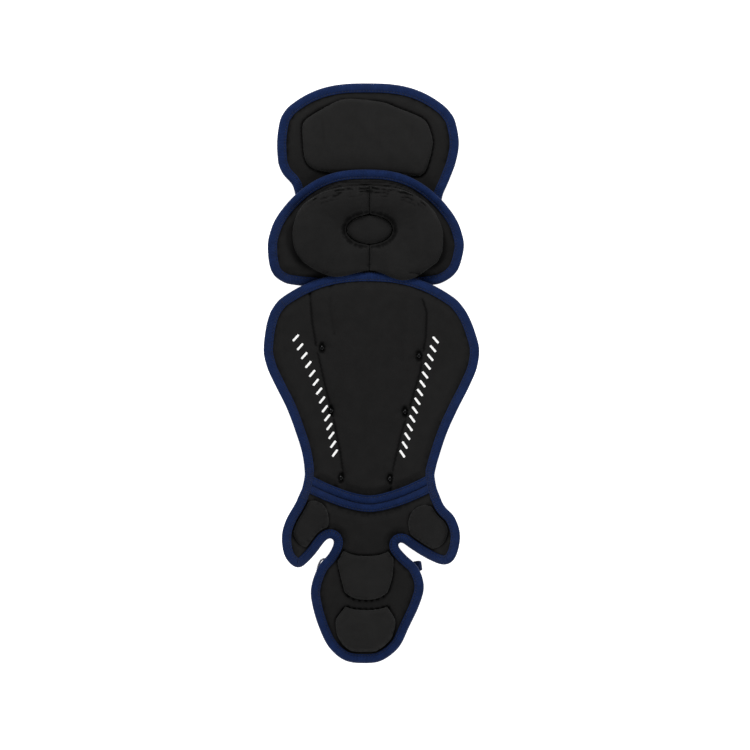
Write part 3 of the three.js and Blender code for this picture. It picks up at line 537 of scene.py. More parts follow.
# %% How stiff the cloth is, and how hard the foam pushes
foam_pressure, swell_frames = 4.0, 20


def set_stuffing(rules, extra):
    rules.quality = 5
    rules.mass = 0.0006
    rules.tension_stiffness = rules.compression_stiffness = 4
    rules.shear_stiffness = 2
    rules.bending_stiffness = 0.02
    rules.air_damping = 2
    rules.vertex_group_mass = "sewn"
    rules.pin_stiffness = 4
    rules.use_pressure = True
    rules.uniform_pressure_force = foam_pressure
    rules.vertex_group_shrink = "loose"
    rules.shrink_min = 0.0
    rules.shrink_max = -extra
    rules.effector_weights.gravity = 0


print("the foam pushes for", swell_frames, "frames a cushion")


# %% Run the cloth simulation on one cushion
def inflate(piece, sewn, loose, cap, extra=0.06):
    mesh = piece.data
    weight_group(piece, "sewn", sewn)
    weight_group(piece, "loose", loose)
    before = np.empty(len(mesh.vertices) * 3)
    mesh.vertices.foreach_get("co", before)
    modifier = piece.modifiers.new("Cloth", "CLOTH")
    set_stuffing(modifier.settings, extra)
    modifier.point_cache.frame_start, modifier.point_cache.frame_end = 1, swell_frames
    scene = bpy.context.scene
    for frame_number in range(1, swell_frames + 1):
        scene.frame_set(frame_number)
    settled = piece.evaluated_get(bpy.context.evaluated_depsgraph_get())
    after = np.empty(len(before))
    settled.data.vertices.foreach_get("co", after)
    move = (after - before).reshape(-1, 3)
    long = np.linalg.norm(move, axis=1) / MM
    move *= (np.minimum(1, cap / np.maximum(long, 1e-9)))[:, None]
    piece.modifiers.remove(modifier)
    mesh.vertices.foreach_set("co", before + move.ravel())
    mesh.update()
    scene.frame_set(1)
    shade_folds(piece)
    print(piece.name, "swelled by", round(float(long.max()), 2), "mm at most")


print("a cushion moves at most by its cap, in millimetres")

# %% [markdown]
# ## Cloth, tape, plastic, steel and print
# The lining is a dull black knit, warm where it takes light. The tape is a ribbed navy weave. Effects that
# serve several finishes are node groups: the crossing threads, a soft mottle of lint and wear, and the
# painted shade in the folds. Pictures of cloth could do this too, but nodes stay sharp at any size.
# Everything reads object coordinates or the tape's own length, so nothing slides with the camera.

# %% Node helpers
def group(name, inputs, outputs):
    tree = bpy.data.node_groups.new(name, "ShaderNodeTree")
    for label, kind, value in inputs:
        socket = tree.interface.new_socket(name=label, in_out="INPUT", socket_type=kind)
        if value is not None:
            socket.default_value = value
    for label, kind in outputs:
        tree.interface.new_socket(name=label, in_out="OUTPUT", socket_type=kind)
    start = tree.nodes.new("NodeGroupInput")
    end = tree.nodes.new("NodeGroupOutput")
    return tree, start, end


def feed(tree, socket, value):
    if isinstance(value, bpy.types.NodeSocket):
        tree.links.new(value, socket)
    else:
        socket.default_value = value


def maths(tree, operation, first, second=0.0, third=None, clamp=False):
    node = tree.nodes.new("ShaderNodeMath")
    node.operation = operation
    node.use_clamp = clamp
    feed(tree, node.inputs[0], first)
    feed(tree, node.inputs[1], second)
    if third is not None:
        feed(tree, node.inputs[2], third)
    return node.outputs[0]


def noise(tree, vector, scale, detail=3.0, roughness=0.55):
    node = tree.nodes.new("ShaderNodeTexNoise")
    feed(tree, node.inputs["Vector"], vector)
    feed(tree, node.inputs["Scale"], scale)
    node.inputs["Detail"].default_value = detail
    node.inputs["Roughness"].default_value = roughness
    return node.outputs["Fac"]


print("node groups so far:", len(bpy.data.node_groups))

# %% Crossing threads, as a group
threads, start, end = group(
    "Crossing threads",
    [("Vector", "NodeSocketVector", None), ("Threads per metre", "NodeSocketFloat", 900.0)],
    [("Height", "NodeSocketFloat")],
)
axes = threads.nodes.new("ShaderNodeSeparateXYZ")
threads.links.new(start.outputs["Vector"], axes.inputs[0])
turn_rate = maths(threads, "MULTIPLY", start.outputs["Threads per metre"], math.pi)
warp = maths(threads, "SINE", maths(threads, "MULTIPLY", axes.outputs["X"], turn_rate))
weft = maths(threads, "SINE", maths(threads, "MULTIPLY", axes.outputs["Y"], turn_rate))
over = maths(threads, "MULTIPLY", warp, weft)
crown = maths(threads, "ABSOLUTE", over)
side = maths(threads, "MULTIPLY_ADD", over, 0.25, 0.5)
threads.links.new(maths(threads, "ADD", maths(threads, "MULTIPLY", crown, 0.5), side), end.inputs["Height"])
print("group:", threads.name)

# %% Lint and wear, as a group
mottle, start, end = group(
    "Lint and wear",
    [("Vector", "NodeSocketVector", None), ("Patch size", "NodeSocketFloat", 60.0)],
    [("Patches", "NodeSocketFloat"), ("Specks", "NodeSocketFloat")],
)
broad = noise(mottle, start.outputs["Vector"], start.outputs["Patch size"], 4.0)
fine_scale = maths(mottle, "MULTIPLY", start.outputs["Patch size"], 14.0)
specks = noise(mottle, start.outputs["Vector"], fine_scale, 2.0, 0.7)
mottle.links.new(broad, end.inputs["Patches"])
speck_mask = maths(mottle, "MULTIPLY", maths(mottle, "SUBTRACT", specks, 0.62), 6.0, clamp=True)
mottle.links.new(speck_mask, end.inputs["Specks"])
print("group:", mottle.name)

# %% Painted shade in the folds, as a group
pressed, start, end = group(
    "Painted shade in the folds",
    [
        ("Colour", "NodeSocketColor", None),
        ("Press", "NodeSocketFloat", 0.0),
        ("Share", "NodeSocketFloat", 0.8),
    ],
    [("Colour", "NodeSocketColor")],
)
lost = maths(pressed, "MULTIPLY", start.outputs["Press"], start.outputs["Share"])
keep = maths(pressed, "SUBTRACT", 1.0, lost, clamp=True)
scale = pressed.nodes.new("ShaderNodeVectorMath")
scale.operation = "SCALE"
pressed.links.new(start.outputs["Colour"], scale.inputs[0])
pressed.links.new(keep, scale.inputs["Scale"])
pressed.links.new(scale.outputs[0], end.inputs["Colour"])
print("group:", pressed.name)


# %% A material around the groups
def place(tree, source, **values):
    node = tree.nodes.new("ShaderNodeGroup")
    node.node_tree = source
    for label, value in values.items():
        feed(tree, node.inputs[label.replace("_", " ")], value)
    return node


def blend_colour(tree, share, dark, light):
    mix = tree.nodes.new("ShaderNodeMix")
    mix.data_type = "RGBA"
    feed(tree, mix.inputs["Factor"], share)
    mix.inputs[6].default_value = (*dark, 1)
    mix.inputs[7].default_value = (*light, 1)
    return mix.outputs[2]


def finish_of(name, coordinates="Object"):
    material = bpy.data.materials.new(name)
    material.use_nodes = True
    tree = material.node_tree
    place_on = tree.nodes.new("ShaderNodeTexCoord").outputs[coordinates]
    return material, tree, tree.nodes["Principled BSDF"], place_on


def bumped(tree, shader, height, strength, distance):
    bump = tree.nodes.new("ShaderNodeBump")
    bump.inputs["Strength"].default_value = strength
    bump.inputs["Distance"].default_value = distance
    tree.links.new(height, bump.inputs["Height"])
    tree.links.new(bump.outputs["Normal"], shader.inputs["Normal"])


def tinted(tree, shader, share, dark, light):
    tree.links.new(blend_colour(tree, share, dark, light), shader.inputs["Base Color"])


def roughened(tree, shader, patches, spread, start_at):
    tree.links.new(maths(tree, "MULTIPLY_ADD", patches, spread, start_at), shader.inputs["Roughness"])


print("materials so far:", len(bpy.data.materials))

# %% [markdown]
# ## The black cloths
# The lining is a knit that takes almost no shine. The raised cushions are the same black, and on the thigh
# cushion and the two instep cushions, which face the light, a lighter copy of it is painted light. The
# hidden backs are an open mesh. One function makes them all, because they differ only in tone, thread
# count and sheen.

# %% The cloths
def cloth(name, dark, light, per_metre, roughness, sheen, depth=0.0003):
    material, tree, shader, where = finish_of(name)
    weave = place(tree, threads, Vector=where, Threads_per_metre=per_metre)
    wear = place(tree, mottle, Vector=where, Patch_size=70.0)
    lint = maths(tree, "MULTIPLY", wear.outputs["Specks"], 0.25)
    share = maths(tree, "MULTIPLY_ADD", wear.outputs["Patches"], 0.7, lint, clamp=True)
    # the press attribute darkens the colour in creases: painted shade
    fold = tree.nodes.new("ShaderNodeAttribute")
    fold.attribute_name = "press"
    colour = place(tree, pressed, Colour=blend_colour(tree, share, dark, light), Press=fold.outputs["Fac"],
                   Share=0.85)
    tree.links.new(colour.outputs["Colour"], shader.inputs["Base Color"])
    roughened(tree, shader, wear.outputs["Patches"], -0.12, roughness)
    height = maths(tree, "MULTIPLY_ADD", wear.outputs["Patches"], 0.8, weave.outputs["Height"])
    bumped(tree, shader, height, 0.5, depth)
    shader.inputs["Sheen Weight"].default_value = sheen
    shader.inputs["Sheen Roughness"].default_value = 0.45
    shader.inputs["Specular IOR Level"].default_value = 0.07
    return material


lining = cloth("Black lining knit", (0.0075, 0.0074, 0.0074), (0.0135, 0.0132, 0.013), 900.0, 0.92, 0.05)
moulded = cloth("Black moulded cushion cloth", (0.0078, 0.0077, 0.0077), (0.014, 0.0138, 0.0136), 1100.0,
                0.88, 0.06)
# a lighter copy of the cushion cloth: painted light for the cushions that face the light
painted_light_cushion_cloth = cloth("Black moulded cushion cloth with painted light", (0.0096, 0.0095, 0.0094), (0.0168, 0.0165, 0.0162), 1100.0,
                  0.88, 0.06)
backing = cloth("Black mesh backing", (0.005, 0.005, 0.0055), (0.011, 0.011, 0.0115), 500.0, 0.95, 0.05)
print("cloths:", lining.name, moulded.name, painted_light_cushion_cloth.name, backing.name)

# %% [markdown]
# ## The navy tape
# Grosgrain tape has fine ribs across its length, and they fan out where it turns a corner. Threads drawn
# in object space would run straight through the corners, so this finish reads the length along the tape
# from its UVs, and bends with it.


# %% The ribbed tape and the webbing
def ribbed(name, dark, light, rib):
    material, tree, shader, where = finish_of(name, "UV")
    axes = tree.nodes.new("ShaderNodeSeparateXYZ")
    tree.links.new(where, axes.inputs[0])
    wander = noise(tree, where, 90.0, 2.0)
    run = maths(tree, "MULTIPLY_ADD", wander, 0.0016, axes.outputs["X"])
    ribs = maths(tree, "SINE", maths(tree, "MULTIPLY", run, 2 * math.pi / rib))
    wear = place(tree, mottle, Vector=where, Patch_size=110.0)
    share = maths(tree, "MULTIPLY_ADD", ribs, 0.22, wear.outputs["Patches"], clamp=True)
    tinted(tree, shader, share, dark, light)
    roughened(tree, shader, wear.outputs["Patches"], -0.2, 0.86)
    bumped(tree, shader, maths(tree, "MULTIPLY_ADD", wear.outputs["Patches"], 0.6, ribs), 0.55, 0.00035)
    shader.inputs["Sheen Weight"].default_value = 0.05
    shader.inputs["Specular IOR Level"].default_value = 0.1
    return material


tape = ribbed("Navy ribbed tape", (0.0012, 0.0068, 0.031), (0.0036, 0.0168, 0.08), 0.0019)
webbing = ribbed("Navy webbing", (0.0012, 0.0065, 0.03), (0.0036, 0.0155, 0.07), 0.0022)
print("ribbed:", tape.name, "and", webbing.name)

# %% [markdown]
# ## Plastic, steel, thread and print
# The shells are moulded in a dull navy plastic with a faint grain. The ring is bright plated steel and the
# snaps are steel painted near black, as painted shade for the dark pits of their dimples. Thread is darker
# than the tape, and the printed dashes are white heat-set film that shows the knit below it. Scanned
# pictures could stand for each, but one Principled shader with the shared mottle over its colour does as
# well and reads no file.

# %% Plastic for the shells
plastic, tree, shader, where = finish_of("Navy moulded plastic")
wear = place(tree, mottle, Vector=where, Patch_size=45.0)
tinted(tree, shader, wear.outputs["Patches"], (0.0022, 0.0055, 0.028), (0.0045, 0.0105, 0.05))
roughened(tree, shader, wear.outputs["Patches"], 0.25, 0.4)
bumped(tree, shader, noise(tree, where, 900.0, 2.0), 0.12, 0.0002)
shader.inputs["Specular IOR Level"].default_value = 0.12
print("plastic:", plastic.name)


# %% Plated steel, and snap steel painted near black as dimple shade
def metal(name, dark, light, roughness):
    material, tree, shader, where = finish_of(name)
    wear = place(tree, mottle, Vector=where, Patch_size=300.0)
    tinted(tree, shader, wear.outputs["Patches"], dark, light)
    roughened(tree, shader, wear.outputs["Patches"], 0.2, roughness)
    bumped(tree, shader, wear.outputs["Specks"], 0.2, 0.0002)
    shader.inputs["Metallic"].default_value = 1.0
    return material


steel = metal("Plated steel", (0.42, 0.42, 0.44), (0.75, 0.75, 0.76), 0.18)
# near-black snap heads: painted shade deep in each dimple
painted_shade_snap_steel = metal("Snap steel painted near black for dimple shade", (0.008, 0.008, 0.0085), (0.03, 0.03, 0.031), 0.1)
print("steels:", steel.name, "and", painted_shade_snap_steel.name)

# %% Thread and print
thread, tree, shader, where = finish_of("Navy sewing thread")
wear = place(tree, mottle, Vector=where, Patch_size=200.0)
tinted(tree, shader, wear.outputs["Patches"], (0.0012, 0.0028, 0.012), (0.003, 0.007, 0.028))
bumped(tree, shader, noise(tree, where, 2500.0, 2.0), 0.5, 0.0002)
shader.inputs["Roughness"].default_value = 0.7

white_print, tree, shader, where = finish_of("White heat-set print")
wear = place(tree, mottle, Vector=where, Patch_size=120.0)
share = maths(tree, "MULTIPLY_ADD", wear.outputs["Specks"], -0.35, 1.0)
tinted(tree, shader, share, (0.25, 0.25, 0.26), (0.88, 0.88, 0.87))
weave = place(tree, threads, Vector=where, Threads_per_metre=900.0)
bumped(tree, shader, weave.outputs["Height"], 0.3, 0.0002)
shader.inputs["Roughness"].default_value = 0.55
print("materials:", len(bpy.data.materials))

# %% [markdown]
# ## Tie each piece to the frame
# Every piece ends the same way. It gets its material, rides on the guard's one body, and hides the CAD
# nodes, if any, that it stands in for. Doing this in one function means that no piece can miss a step.


# %% A shared last step for every piece
def settle(piece, material, slot, *nodes, second=None):
    piece.data.materials.append(material)
    if second is not None:
        piece.data.materials.append(second)
    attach(piece, "root")
    if nodes:
        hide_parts(*nodes)
    return piece


print("CAD nodes to dress:", len(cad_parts))

# %% [markdown]
# ## The thigh pad
# The thigh pad carries one wide moulded cushion. Moulding presses a narrow groove into the pad round the
# cushion, so the groove belongs to the pad and the crown to the cushion. The cloth near the binding
# puckers a little where the sewing draws it in. A brush could carve all this, but as small heights that
# are added to the pad's own, each groove stays even and can be changed by one number.

# %% Grooves, puckers and slack cloth
bead_run = 7.5


def ripple(p, size, turn=0.0):
    total = np.zeros(len(p))
    for k in range(5):
        angle = turn + 2.4 * k
        run = p[:, 0] * math.cos(angle) + p[:, 1] * math.sin(angle)
        total += np.sin(2 * np.pi * run / (size * (0.7 + 0.17 * k)) + 1.7 * k + turn)
    return total / 5


def groove(line, depth, width, closed=True, beads=0.0):
    def press(p, way):
        off, at = line_way(line, p, closed)
        bead = 1 + beads * np.sin(2 * np.pi * at / bead_run)
        return -depth * bead * np.exp(-((off / width) ** 2))

    return press


def pucker(p, way):
    near = np.exp(-((way - binding_width - 2) / 4.5) ** 2)
    return near * (0.3 * ripple(p, 9, 0.6) + 0.25 * ripple(p, 17, 2.1))


def slack(p, way):
    return 0.35 * ripple(p, 55, 0.9) * smooth((way - binding_width) / 14)


puckers_here = pucker(thigh.loop, np.full(len(thigh.loop), binding_width + 2.0))
print("puckers reach", round(float(puckers_here.max()), 2), "mm")


# %% The thigh cushion's outline
def clear_of_binding(pad, outline, extra=1.2):
    middle = (outline.min(0) + outline.max(0)) / 2
    loop = outline.copy()
    for _ in range(60):
        tight = ~(is_inside(pad.loop, loop) & (pad.way(loop) > binding_width + extra))
        if not tight.any():
            break
        loop[tight] += 0.02 * (middle - loop[tight])
    return loop


thigh_cushion_marks = np.array([
    (-1.057, 0.31), (-1.064, 0.469), (-1.049, 0.665), (-1.025, 0.796), (-0.957, 0.885), (-0.815, 0.934),
    (-0.617, 0.957), (-0.247, 0.959), (0.123, 0.964), (0.395, 0.982), (0.617, 1), (0.759, 1.002),
    (0.833, 0.948), (0.895, 0.796), (0.943, 0.616), (0.942, 0.522), (0.849, 0.296), (0.667, 0.2),
    (0.383, 0.106), (0.193, 0.04), (-0.159, 0), (-0.383, -0.01), (-0.553, 0.032), (-0.923, 0.21),
])
cushion_length, cushion_width = 95, 162
cushion_top = thigh_top - 0.14 * thigh_length
cushion_spots = thigh_cushion_marks * [cushion_width / 2, -cushion_length] + [0, cushion_top]
thigh_cushion_outline = through(np.vstack([cushion_spots[-2:], cushion_spots, cushion_spots[:2]]))[24:-13]
thigh_cushion_outline = clear_of_binding(thigh, softened(resample(thigh_cushion_outline, 2), 8))
print("the thigh cushion is", np.ptp(thigh_cushion_outline, axis=0).round(1), "mm")


# %% The thigh pad, with a mesh backing below
def pad_piece(name, pad, step):
    piece = quilt(name, pad.loop, step, pad.front, pad.back, rings=(3, 6.5))
    settle(piece, lining, "pad_cloth", name, second=backing)
    for face in piece.data.polygons:
        if face.normal.z < -0.2:
            face.material_index = 1
    return piece


thigh.details += [slack, pucker, groove(thigh_cushion_outline, 2.4, 2.4)]
pad_piece("thigh_pad", thigh, 2.6)


# %% A cushion that sits on a pad
cushion_height, cushion_sink, rim_round = 5, 2.2, 4.5


def cushion_piece(name, pad, outline, skin, step=2.2, crown_way=26.0):
    edge = resample(outline, 1.5)

    def upper(p, way):
        round_over = np.sqrt(1 - (1 - np.minimum(1, way / rim_round)) ** 2)
        crown = 0.8 * round_over + 0.2 * np.sqrt(1 - (1 - np.minimum(1, way / crown_way)) ** 2)
        lift = cushion_height * crown + 0.3 * ripple(p, 38, 1.3) * smooth(way / 12)
        return pad.front(p, details=False) - 1.6 * (1 - round_over) + lift

    def lower(p, way):
        return pad.front(p, details=False) - cushion_sink

    piece = quilt(name, edge, step, upper, lower, rings=(0.3, 1.0, 2.2, 3.8))
    flat, top, sewn = sewn_round(piece, edge, 5)
    inflate(piece, sewn, np.where(top, 0.5 + 0.5 * ripple(flat, 45, 1.0), 0), cap=2.5)
    return settle(piece, skin, "pad_cloth", name)


# the thigh cushion wears the lighter cloth, which is painted light
cushion_piece("thigh_cushion", thigh, thigh_cushion_outline, painted_light_cushion_cloth)

# %% [markdown]
# ## The knee
# Two soft lobes fill the knee cup. They are sewn together down the middle and round an oval button, and
# at the top their cover is gathered under the binding, so the cloth there lies in folds. Two flattened
# balls would be quicker, but the lobes bulge past their own sewn edge, which is why each is a closed form
# that tucks back in below.

# %% The lobes' outline, seam and button
lobes_length, lobes_width, lobes_scallop = 105, 188, (8, 12.5)
lobe_height, lobe_rim = 21, 10
button_width, button_length, button_height = 56, 35, 17
lobes_top = knee_top - 0.144 * knee_length
button_x, button_y = -2.5, lobes_top - 0.512 * lobes_length
lobes_rows = table(
    "at left right",
    (0.214, -0.904, 0.751), (0.333, -0.99, 0.857), (0.583, -1.049, 0.951), (0.75, -1.017, 0.944),
    (0.893, -0.918, 0.884),
)
lobes_outline = resample(
    row_outline(lobes_rows, lobes_length, lobes_width, lobes_top, crown=3, heel=6, scallop=lobes_scallop), 2
)
seam_play = 1.2


def oval(x, y, width, length, tilt=0.0):
    t = np.linspace(0, 2 * np.pi, 96, endpoint=False)
    u, v = width / 2 * np.cos(t), length / 2 * np.sin(t)
    c, s = math.cos(math.radians(tilt)), math.sin(math.radians(tilt))
    return np.column_stack([x + u * c - v * s, y + u * s + v * c])


button_outline = oval(button_x, button_y, button_width, button_length)
button_bed = oval(button_x, button_y, button_width + 2 * seam_play, button_length + 2 * seam_play)
print("the lobes are", np.ptp(lobes_outline, axis=0).round(1), "mm")


# %% The knee pad, gathered below its binding
gather_run = 4.6


def gather(p, way):
    reach = smooth((way - binding_width) / 3) * smooth((p[:, 1] - (lobes_top - 34)) / 30)
    folds = np.sin(2 * np.pi * (way + 1.6 * ripple(p, 46, 0.2)) / gather_run)
    return reach * np.exp(-np.maximum(0, way - 17) / 7) * (folds + 0.6 * ripple(p, 13, 1.1))


knee.details += [slack, pucker, gather]
pad_piece("knee_pad", knee, 2.0)


# %% The underside of a lobe, which stays clear of the shin pad
def over_shin(p):
    out = np.where(is_inside(shin_outline, p), 0, line_distance(shin_outline, p, closed=True))
    return shin.base(p) + band_half + 2 * gap - np.maximum(0, out - 3)


def lobe_under(p, way):
    outer = line_distance(lobes_outline, p, closed=True)
    tuck = 1 - np.sqrt(1 - (1 - np.minimum(1, outer / 12)) ** 2)
    low = knee.front(p, details=False) + (lobe_rim - 0.6) * tuck - 1
    return np.maximum(low, over_shin(p))


button_spot = np.array([[button_x, button_y]])
print("a lobe's underside at the button is", round(float(lobe_under(button_spot, 0)[0]), 1), "mm up")

# %% The crown of a lobe, with its creases and gathers
gather_reach = 40


def lobe_crown(p):
    outer = line_distance(lobes_outline, p, closed=True)
    dome = np.sqrt(1 - (1 - np.minimum(1, outer / 34)) ** 2)
    rim = np.maximum(knee.front(p, details=False) + lobe_rim, over_shin(p) + 1)
    seam_way = np.abs(p[:, 0] - button_x)
    round_way = line_distance(button_bed, p, closed=True)
    notch = 3.2 + 4 * smooth((p[:, 1] - lobes_top + 14) / 14) + 3 * np.exp(-round_way / 5)
    crease = 7.0 * np.exp(-seam_way / notch) + 3.0 * np.exp(-((seam_way / 11) ** 2))
    bed = 7.5 * (1 - smooth((round_way - 2) / 8)) + 3.5 * np.exp(-((round_way / 12) ** 2))
    top_side = smooth((p[:, 1] - (lobes_top - gather_reach)) / 30)
    wander = outer + 2.4 * ripple(p, 34, 0.5) + 1.4 * ripple(p, 12, 1.9)
    broken = smooth(0.6 + 1.6 * ripple(p, 22, 3.0))
    folds = np.sin(2 * np.pi * wander / gather_run) * np.exp(-((outer / 12) ** 2)) * broken
    folds += 0.35 * ripple(p, 7, 0.4) * np.exp(-((outer / 10) ** 2))
    lift = (lobe_height - lobe_rim) * dome - 0.42 * np.maximum(crease, bed)
    lift -= 0.58 * np.maximum(crease, bed) * smooth(outer / 8)
    return rim + lift + top_side * 2.1 * folds + 0.5 * ripple(p, 48, 2.2)


def lobe_upper(p, way):
    return np.maximum(lobe_crown(p), lobe_under(p, way) + 0.4)


beside_button = np.array([[button_x - button_width, button_y]])
print("a lobe's crown is", round(float(lobe_upper(beside_button, 0)[0]), 1), "mm up")


# %% The edge of one lobe, cut out round the button
def lobe_edge(side):
    seam_x = button_x + side * 0.35
    half = lobes_outline[side * (lobes_outline[:, 0] - seam_x) > 0]
    ends = half[np.argsort(np.abs(half[:, 0] - seam_x))][:2]
    ends = ends[np.argsort(-side * ends[:, 1])]
    start = int(np.where((half == ends[1]).all(1))[0][0])
    half = np.roll(half, -start, axis=0)
    if not np.allclose(half[-1], ends[0]):
        half = np.roll(half[::-1], 1, axis=0)[::-1]
    straight = np.column_stack([np.full(60, seam_x), np.linspace(half[-1, 1], half[0, 1], 60)])
    u = (straight[:, 0] - button_x) / (button_width / 2 + seam_play)
    v = (straight[:, 1] - button_y) / (button_length / 2 + seam_play)
    bite = np.hypot(u, v) < 1
    reach = np.sqrt(1 - np.minimum(1, v**2))
    straight[bite, 0] = button_x + side * (button_width / 2 + seam_play) * reach[bite]
    return resample(np.vstack([half, straight]), 1.5)


print("the left lobe's edge has", len(lobe_edge(-1)), "points")


# %% Sew and swell the two lobes
def lobe_piece(name, side):
    edge = lobe_edge(side)
    piece = quilt(name, edge, 1.8, lobe_upper, lobe_under, rings=(0.3, 1.0, 2.0, 3.4, 5.2), sharp=70)
    flat, top, sewn = sewn_round(piece, edge, 6)
    outer = line_distance(lobes_outline, flat, closed=True)
    near_top = smooth((flat[:, 1] - (lobes_top - gather_reach)) / 30)
    loose = np.exp(-((outer / 13) ** 2)) * near_top * (0.6 + 0.4 * ripple(flat, 22, 4.0))
    inflate(piece, sewn, np.where(top, np.clip(loose, 0, 1), 0), cap=5, extra=0.25)
    return settle(piece, moulded, "pad_cloth", name)


lobe_piece("knee_cushion_left", -1)
lobe_piece("knee_cushion_right", 1)


# %% The button between them
def button_top(p, way):
    dome = np.sqrt(1 - (1 - np.minimum(1, way / 16)) ** 2)
    return knee.front(p, details=False) + 8 + (button_height - 9) * dome + 0.25 * ripple(p, 20, 0.3)


button = quilt("knee_button", button_outline, 1.6, button_top,
               lambda p, way: knee.front(p, details=False) - 1, rings=(0.3, 0.9, 1.8, 3.0))
flat, top, sewn = sewn_round(button, button_outline, 5)
inflate(button, sewn, np.where(top, 0.5 + 0.5 * ripple(flat, 30, 2.0), 0), cap=2)
settle(button, moulded, "pad_cloth", "knee_button")

# %% [markdown]
# ## The shin
# The long shin pad folds along two creases, where the flat of the shin meets the wings. Six snaps hold it
# to its shell, and each pulls a dimple into the foam. Creases and dimples are heights too: one falls off
# with the distance from a line, the other with the distance from a point.

# %% The creases and two shallow folds
left_crease = np.array([(-77, 99), (-74, 63), (-69, 34), (-59, -11), (-47, -59), (-39, -99),
                        (-35, -128)], float)
right_crease = np.array([(64, 93), (69, 76), (68, 46), (61, 2), (49, -38), (37, -76), (32, -98), (27, -119),
                         (24, -146)], float)
top_fold = np.array([(-51, 116), (-52, 84), (-47, 50)], float)
side_fold = np.array([(43, 100), (44, 60), (39, 18)], float)


def panel_edges(p, way):
    fall = 0.0
    for line in (left_crease, right_crease):
        off = line_distance(line, p)
        fall = fall - 1.3 * np.exp(-((off / 1.8) ** 2)) - 1.5 * np.exp(-off / 6)
    return fall


print("creases:", len(left_crease), "and", len(right_crease), "points")

# %% The dimples that the snaps pull
rivet_places = table(
    "at across",
    (0.328, -0.461), (0.362, 0.442), (0.599, -0.377), (0.603, 0.312), (0.888, -0.284), (0.892, 0.172),
)
rivet_spots = np.column_stack([
    rivet_places["across"] * shin_half,
    shin_top - rivet_places["at"] * shin_length,
])
dimple_radius, dimple_depth, dimple_slope = 9, 5, 1.6


def dimples(p, way):
    drop = np.zeros(len(p))
    for x, y in rivet_spots:
        off = np.hypot(p[:, 0] - x, 0.62 * (p[:, 1] - y))
        turn = np.arctan2(p[:, 1] - y, p[:, 0] - x)
        pit = 1 - smooth((off - 3.2) / 2.6)
        slope = dimple_slope * np.exp(-((off / dimple_radius) ** 2))
        drops = (dimple_depth - dimple_slope) * pit + slope
        rays = 0.5 * np.sin(5 * turn + x) * np.exp(-(((off - dimple_radius) / 4.5) ** 2))
        drop = np.maximum(drop, drops + rays)
    return -drop


print("the deepest dimple is", round(float(-dimples(rivet_spots, 0).min()), 1), "mm")

# %% The shin pad
shin.details += [
    slack, pucker, panel_edges, dimples,
    groove(top_fold, 1.3, 4, closed=False), groove(side_fold, 1.0, 5, closed=False),
]
pad_piece("shin_pad", shin, 2.0)

# %% [markdown]
# ## The snaps
# A snap is a stud with a domed head that passes through the pad and the shell. It is round all the way, so
# one profile turned round its axis makes it, as a lathe would. Only the head shows, deep in its dimple.


# %% The snaps that hold the pad to the shell
def revolve(name, profile, x, y, sides=28):
    turn = np.linspace(0, 2 * np.pi, sides, endpoint=False)
    verts, spans = [], []
    for r, z in profile:
        first = len(verts)
        if r == 0:
            verts.append((x, y, z))
        else:
            verts += [(x + r * math.cos(t), y + r * math.sin(t), z) for t in turn]
        spans.append((first, len(verts) - first))
    faces = []
    for (a, m), (b, n) in zip(spans, spans[1:]):
        for i in range(sides):
            j = (i + 1) % sides
            if m == 1:
                faces.append((a, b + j, b + i))
            elif n == 1:
                faces.append((a + i, a + j, b))
            else:
                faces.append((a + i, a + j, b + j, b + i))
    return new_object(name, verts, faces, sharp=40)


for number, (x, y) in enumerate(rivet_spots, 1):
    spot = np.array([[x, y]])
    seat = float(shin.front(spot, details=False)[0]) - dimple_depth
    foot_z = float(shin.base(spot)[0]) - edge_half - shell_gap - shell_thickness - gap
    snap = revolve(f"shin_rivet_{number}", [
        (0, foot_z - 1.6), (2.6, foot_z - 1.5), (3.8, foot_z - 1.0), (4.2, foot_z - 0.4), (4.2, foot_z),
        (1.8, foot_z), (1.8, seat + 0.3), (2.6, seat + 0.3), (2.7, seat + 0.6), (2.4, seat + 1.0),
        (1.9, seat + 1.2), (1.2, seat + 1.45), (0.6, seat + 1.6), (0, seat + 1.65),
    ], x, y)
    # the snap's near-black steel is painted shade in its dimple
    settle(snap, painted_shade_snap_steel, "fastener_steel", f"shin_rivet_{number}")
print("snaps:", len(rivet_spots))

# %% [markdown]
# ## The printed dashes
# A row of plain dashes runs down each wing, as a film pressed onto the knit. Painting them in the material
# would tie them to one flat map, so each dash is a small sheet with rounded corners, laid on the pad's
# own height.


# %% The printed dashes
dash_count, dash_length, dash_width, dash_corner = 14, 10.6, 2.7, 0.9


def dashes(name, first, last, leans, bow):
    verts, faces = [], []
    ends = np.array([-0.5, -0.485, -0.45, -0.42, -0.2, 0, 0.2, 0.42, 0.45, 0.485, 0.5]) * dash_length
    rows = 4
    trim = np.maximum(0, np.abs(ends) - (dash_length / 2 - dash_corner))
    halves = dash_width / 2 - dash_corner + np.sqrt(np.maximum(0, dash_corner**2 - trim**2))
    for k in range(dash_count):
        share = k / (dash_count - 1)
        middle = np.array(first) + (np.array(last) - first) * share + [bow * math.sin(math.pi * share), 0]
        lean = math.radians(leans[0] + (leans[1] - leans[0]) * share)
        reach = np.array([math.cos(lean), math.sin(lean)])
        across = np.array([-reach[1], reach[0]])
        start = len(verts)
        for end, half in zip(ends, halves):
            verts += [middle + reach * end + across * half * v for v in np.linspace(-1, 1, rows)]
        for i in range(len(ends) - 1):
            for j in range(rows - 1):
                a = start + i * rows + j
                faces.append((a, a + rows, a + rows + 1, a + 1))
    flat = np.array(verts)
    lifted = np.column_stack([flat, shin.front(flat) + 0.3])
    print(name, dash_count)
    return settle(new_object(name, lifted, faces), white_print, "pad_cloth")


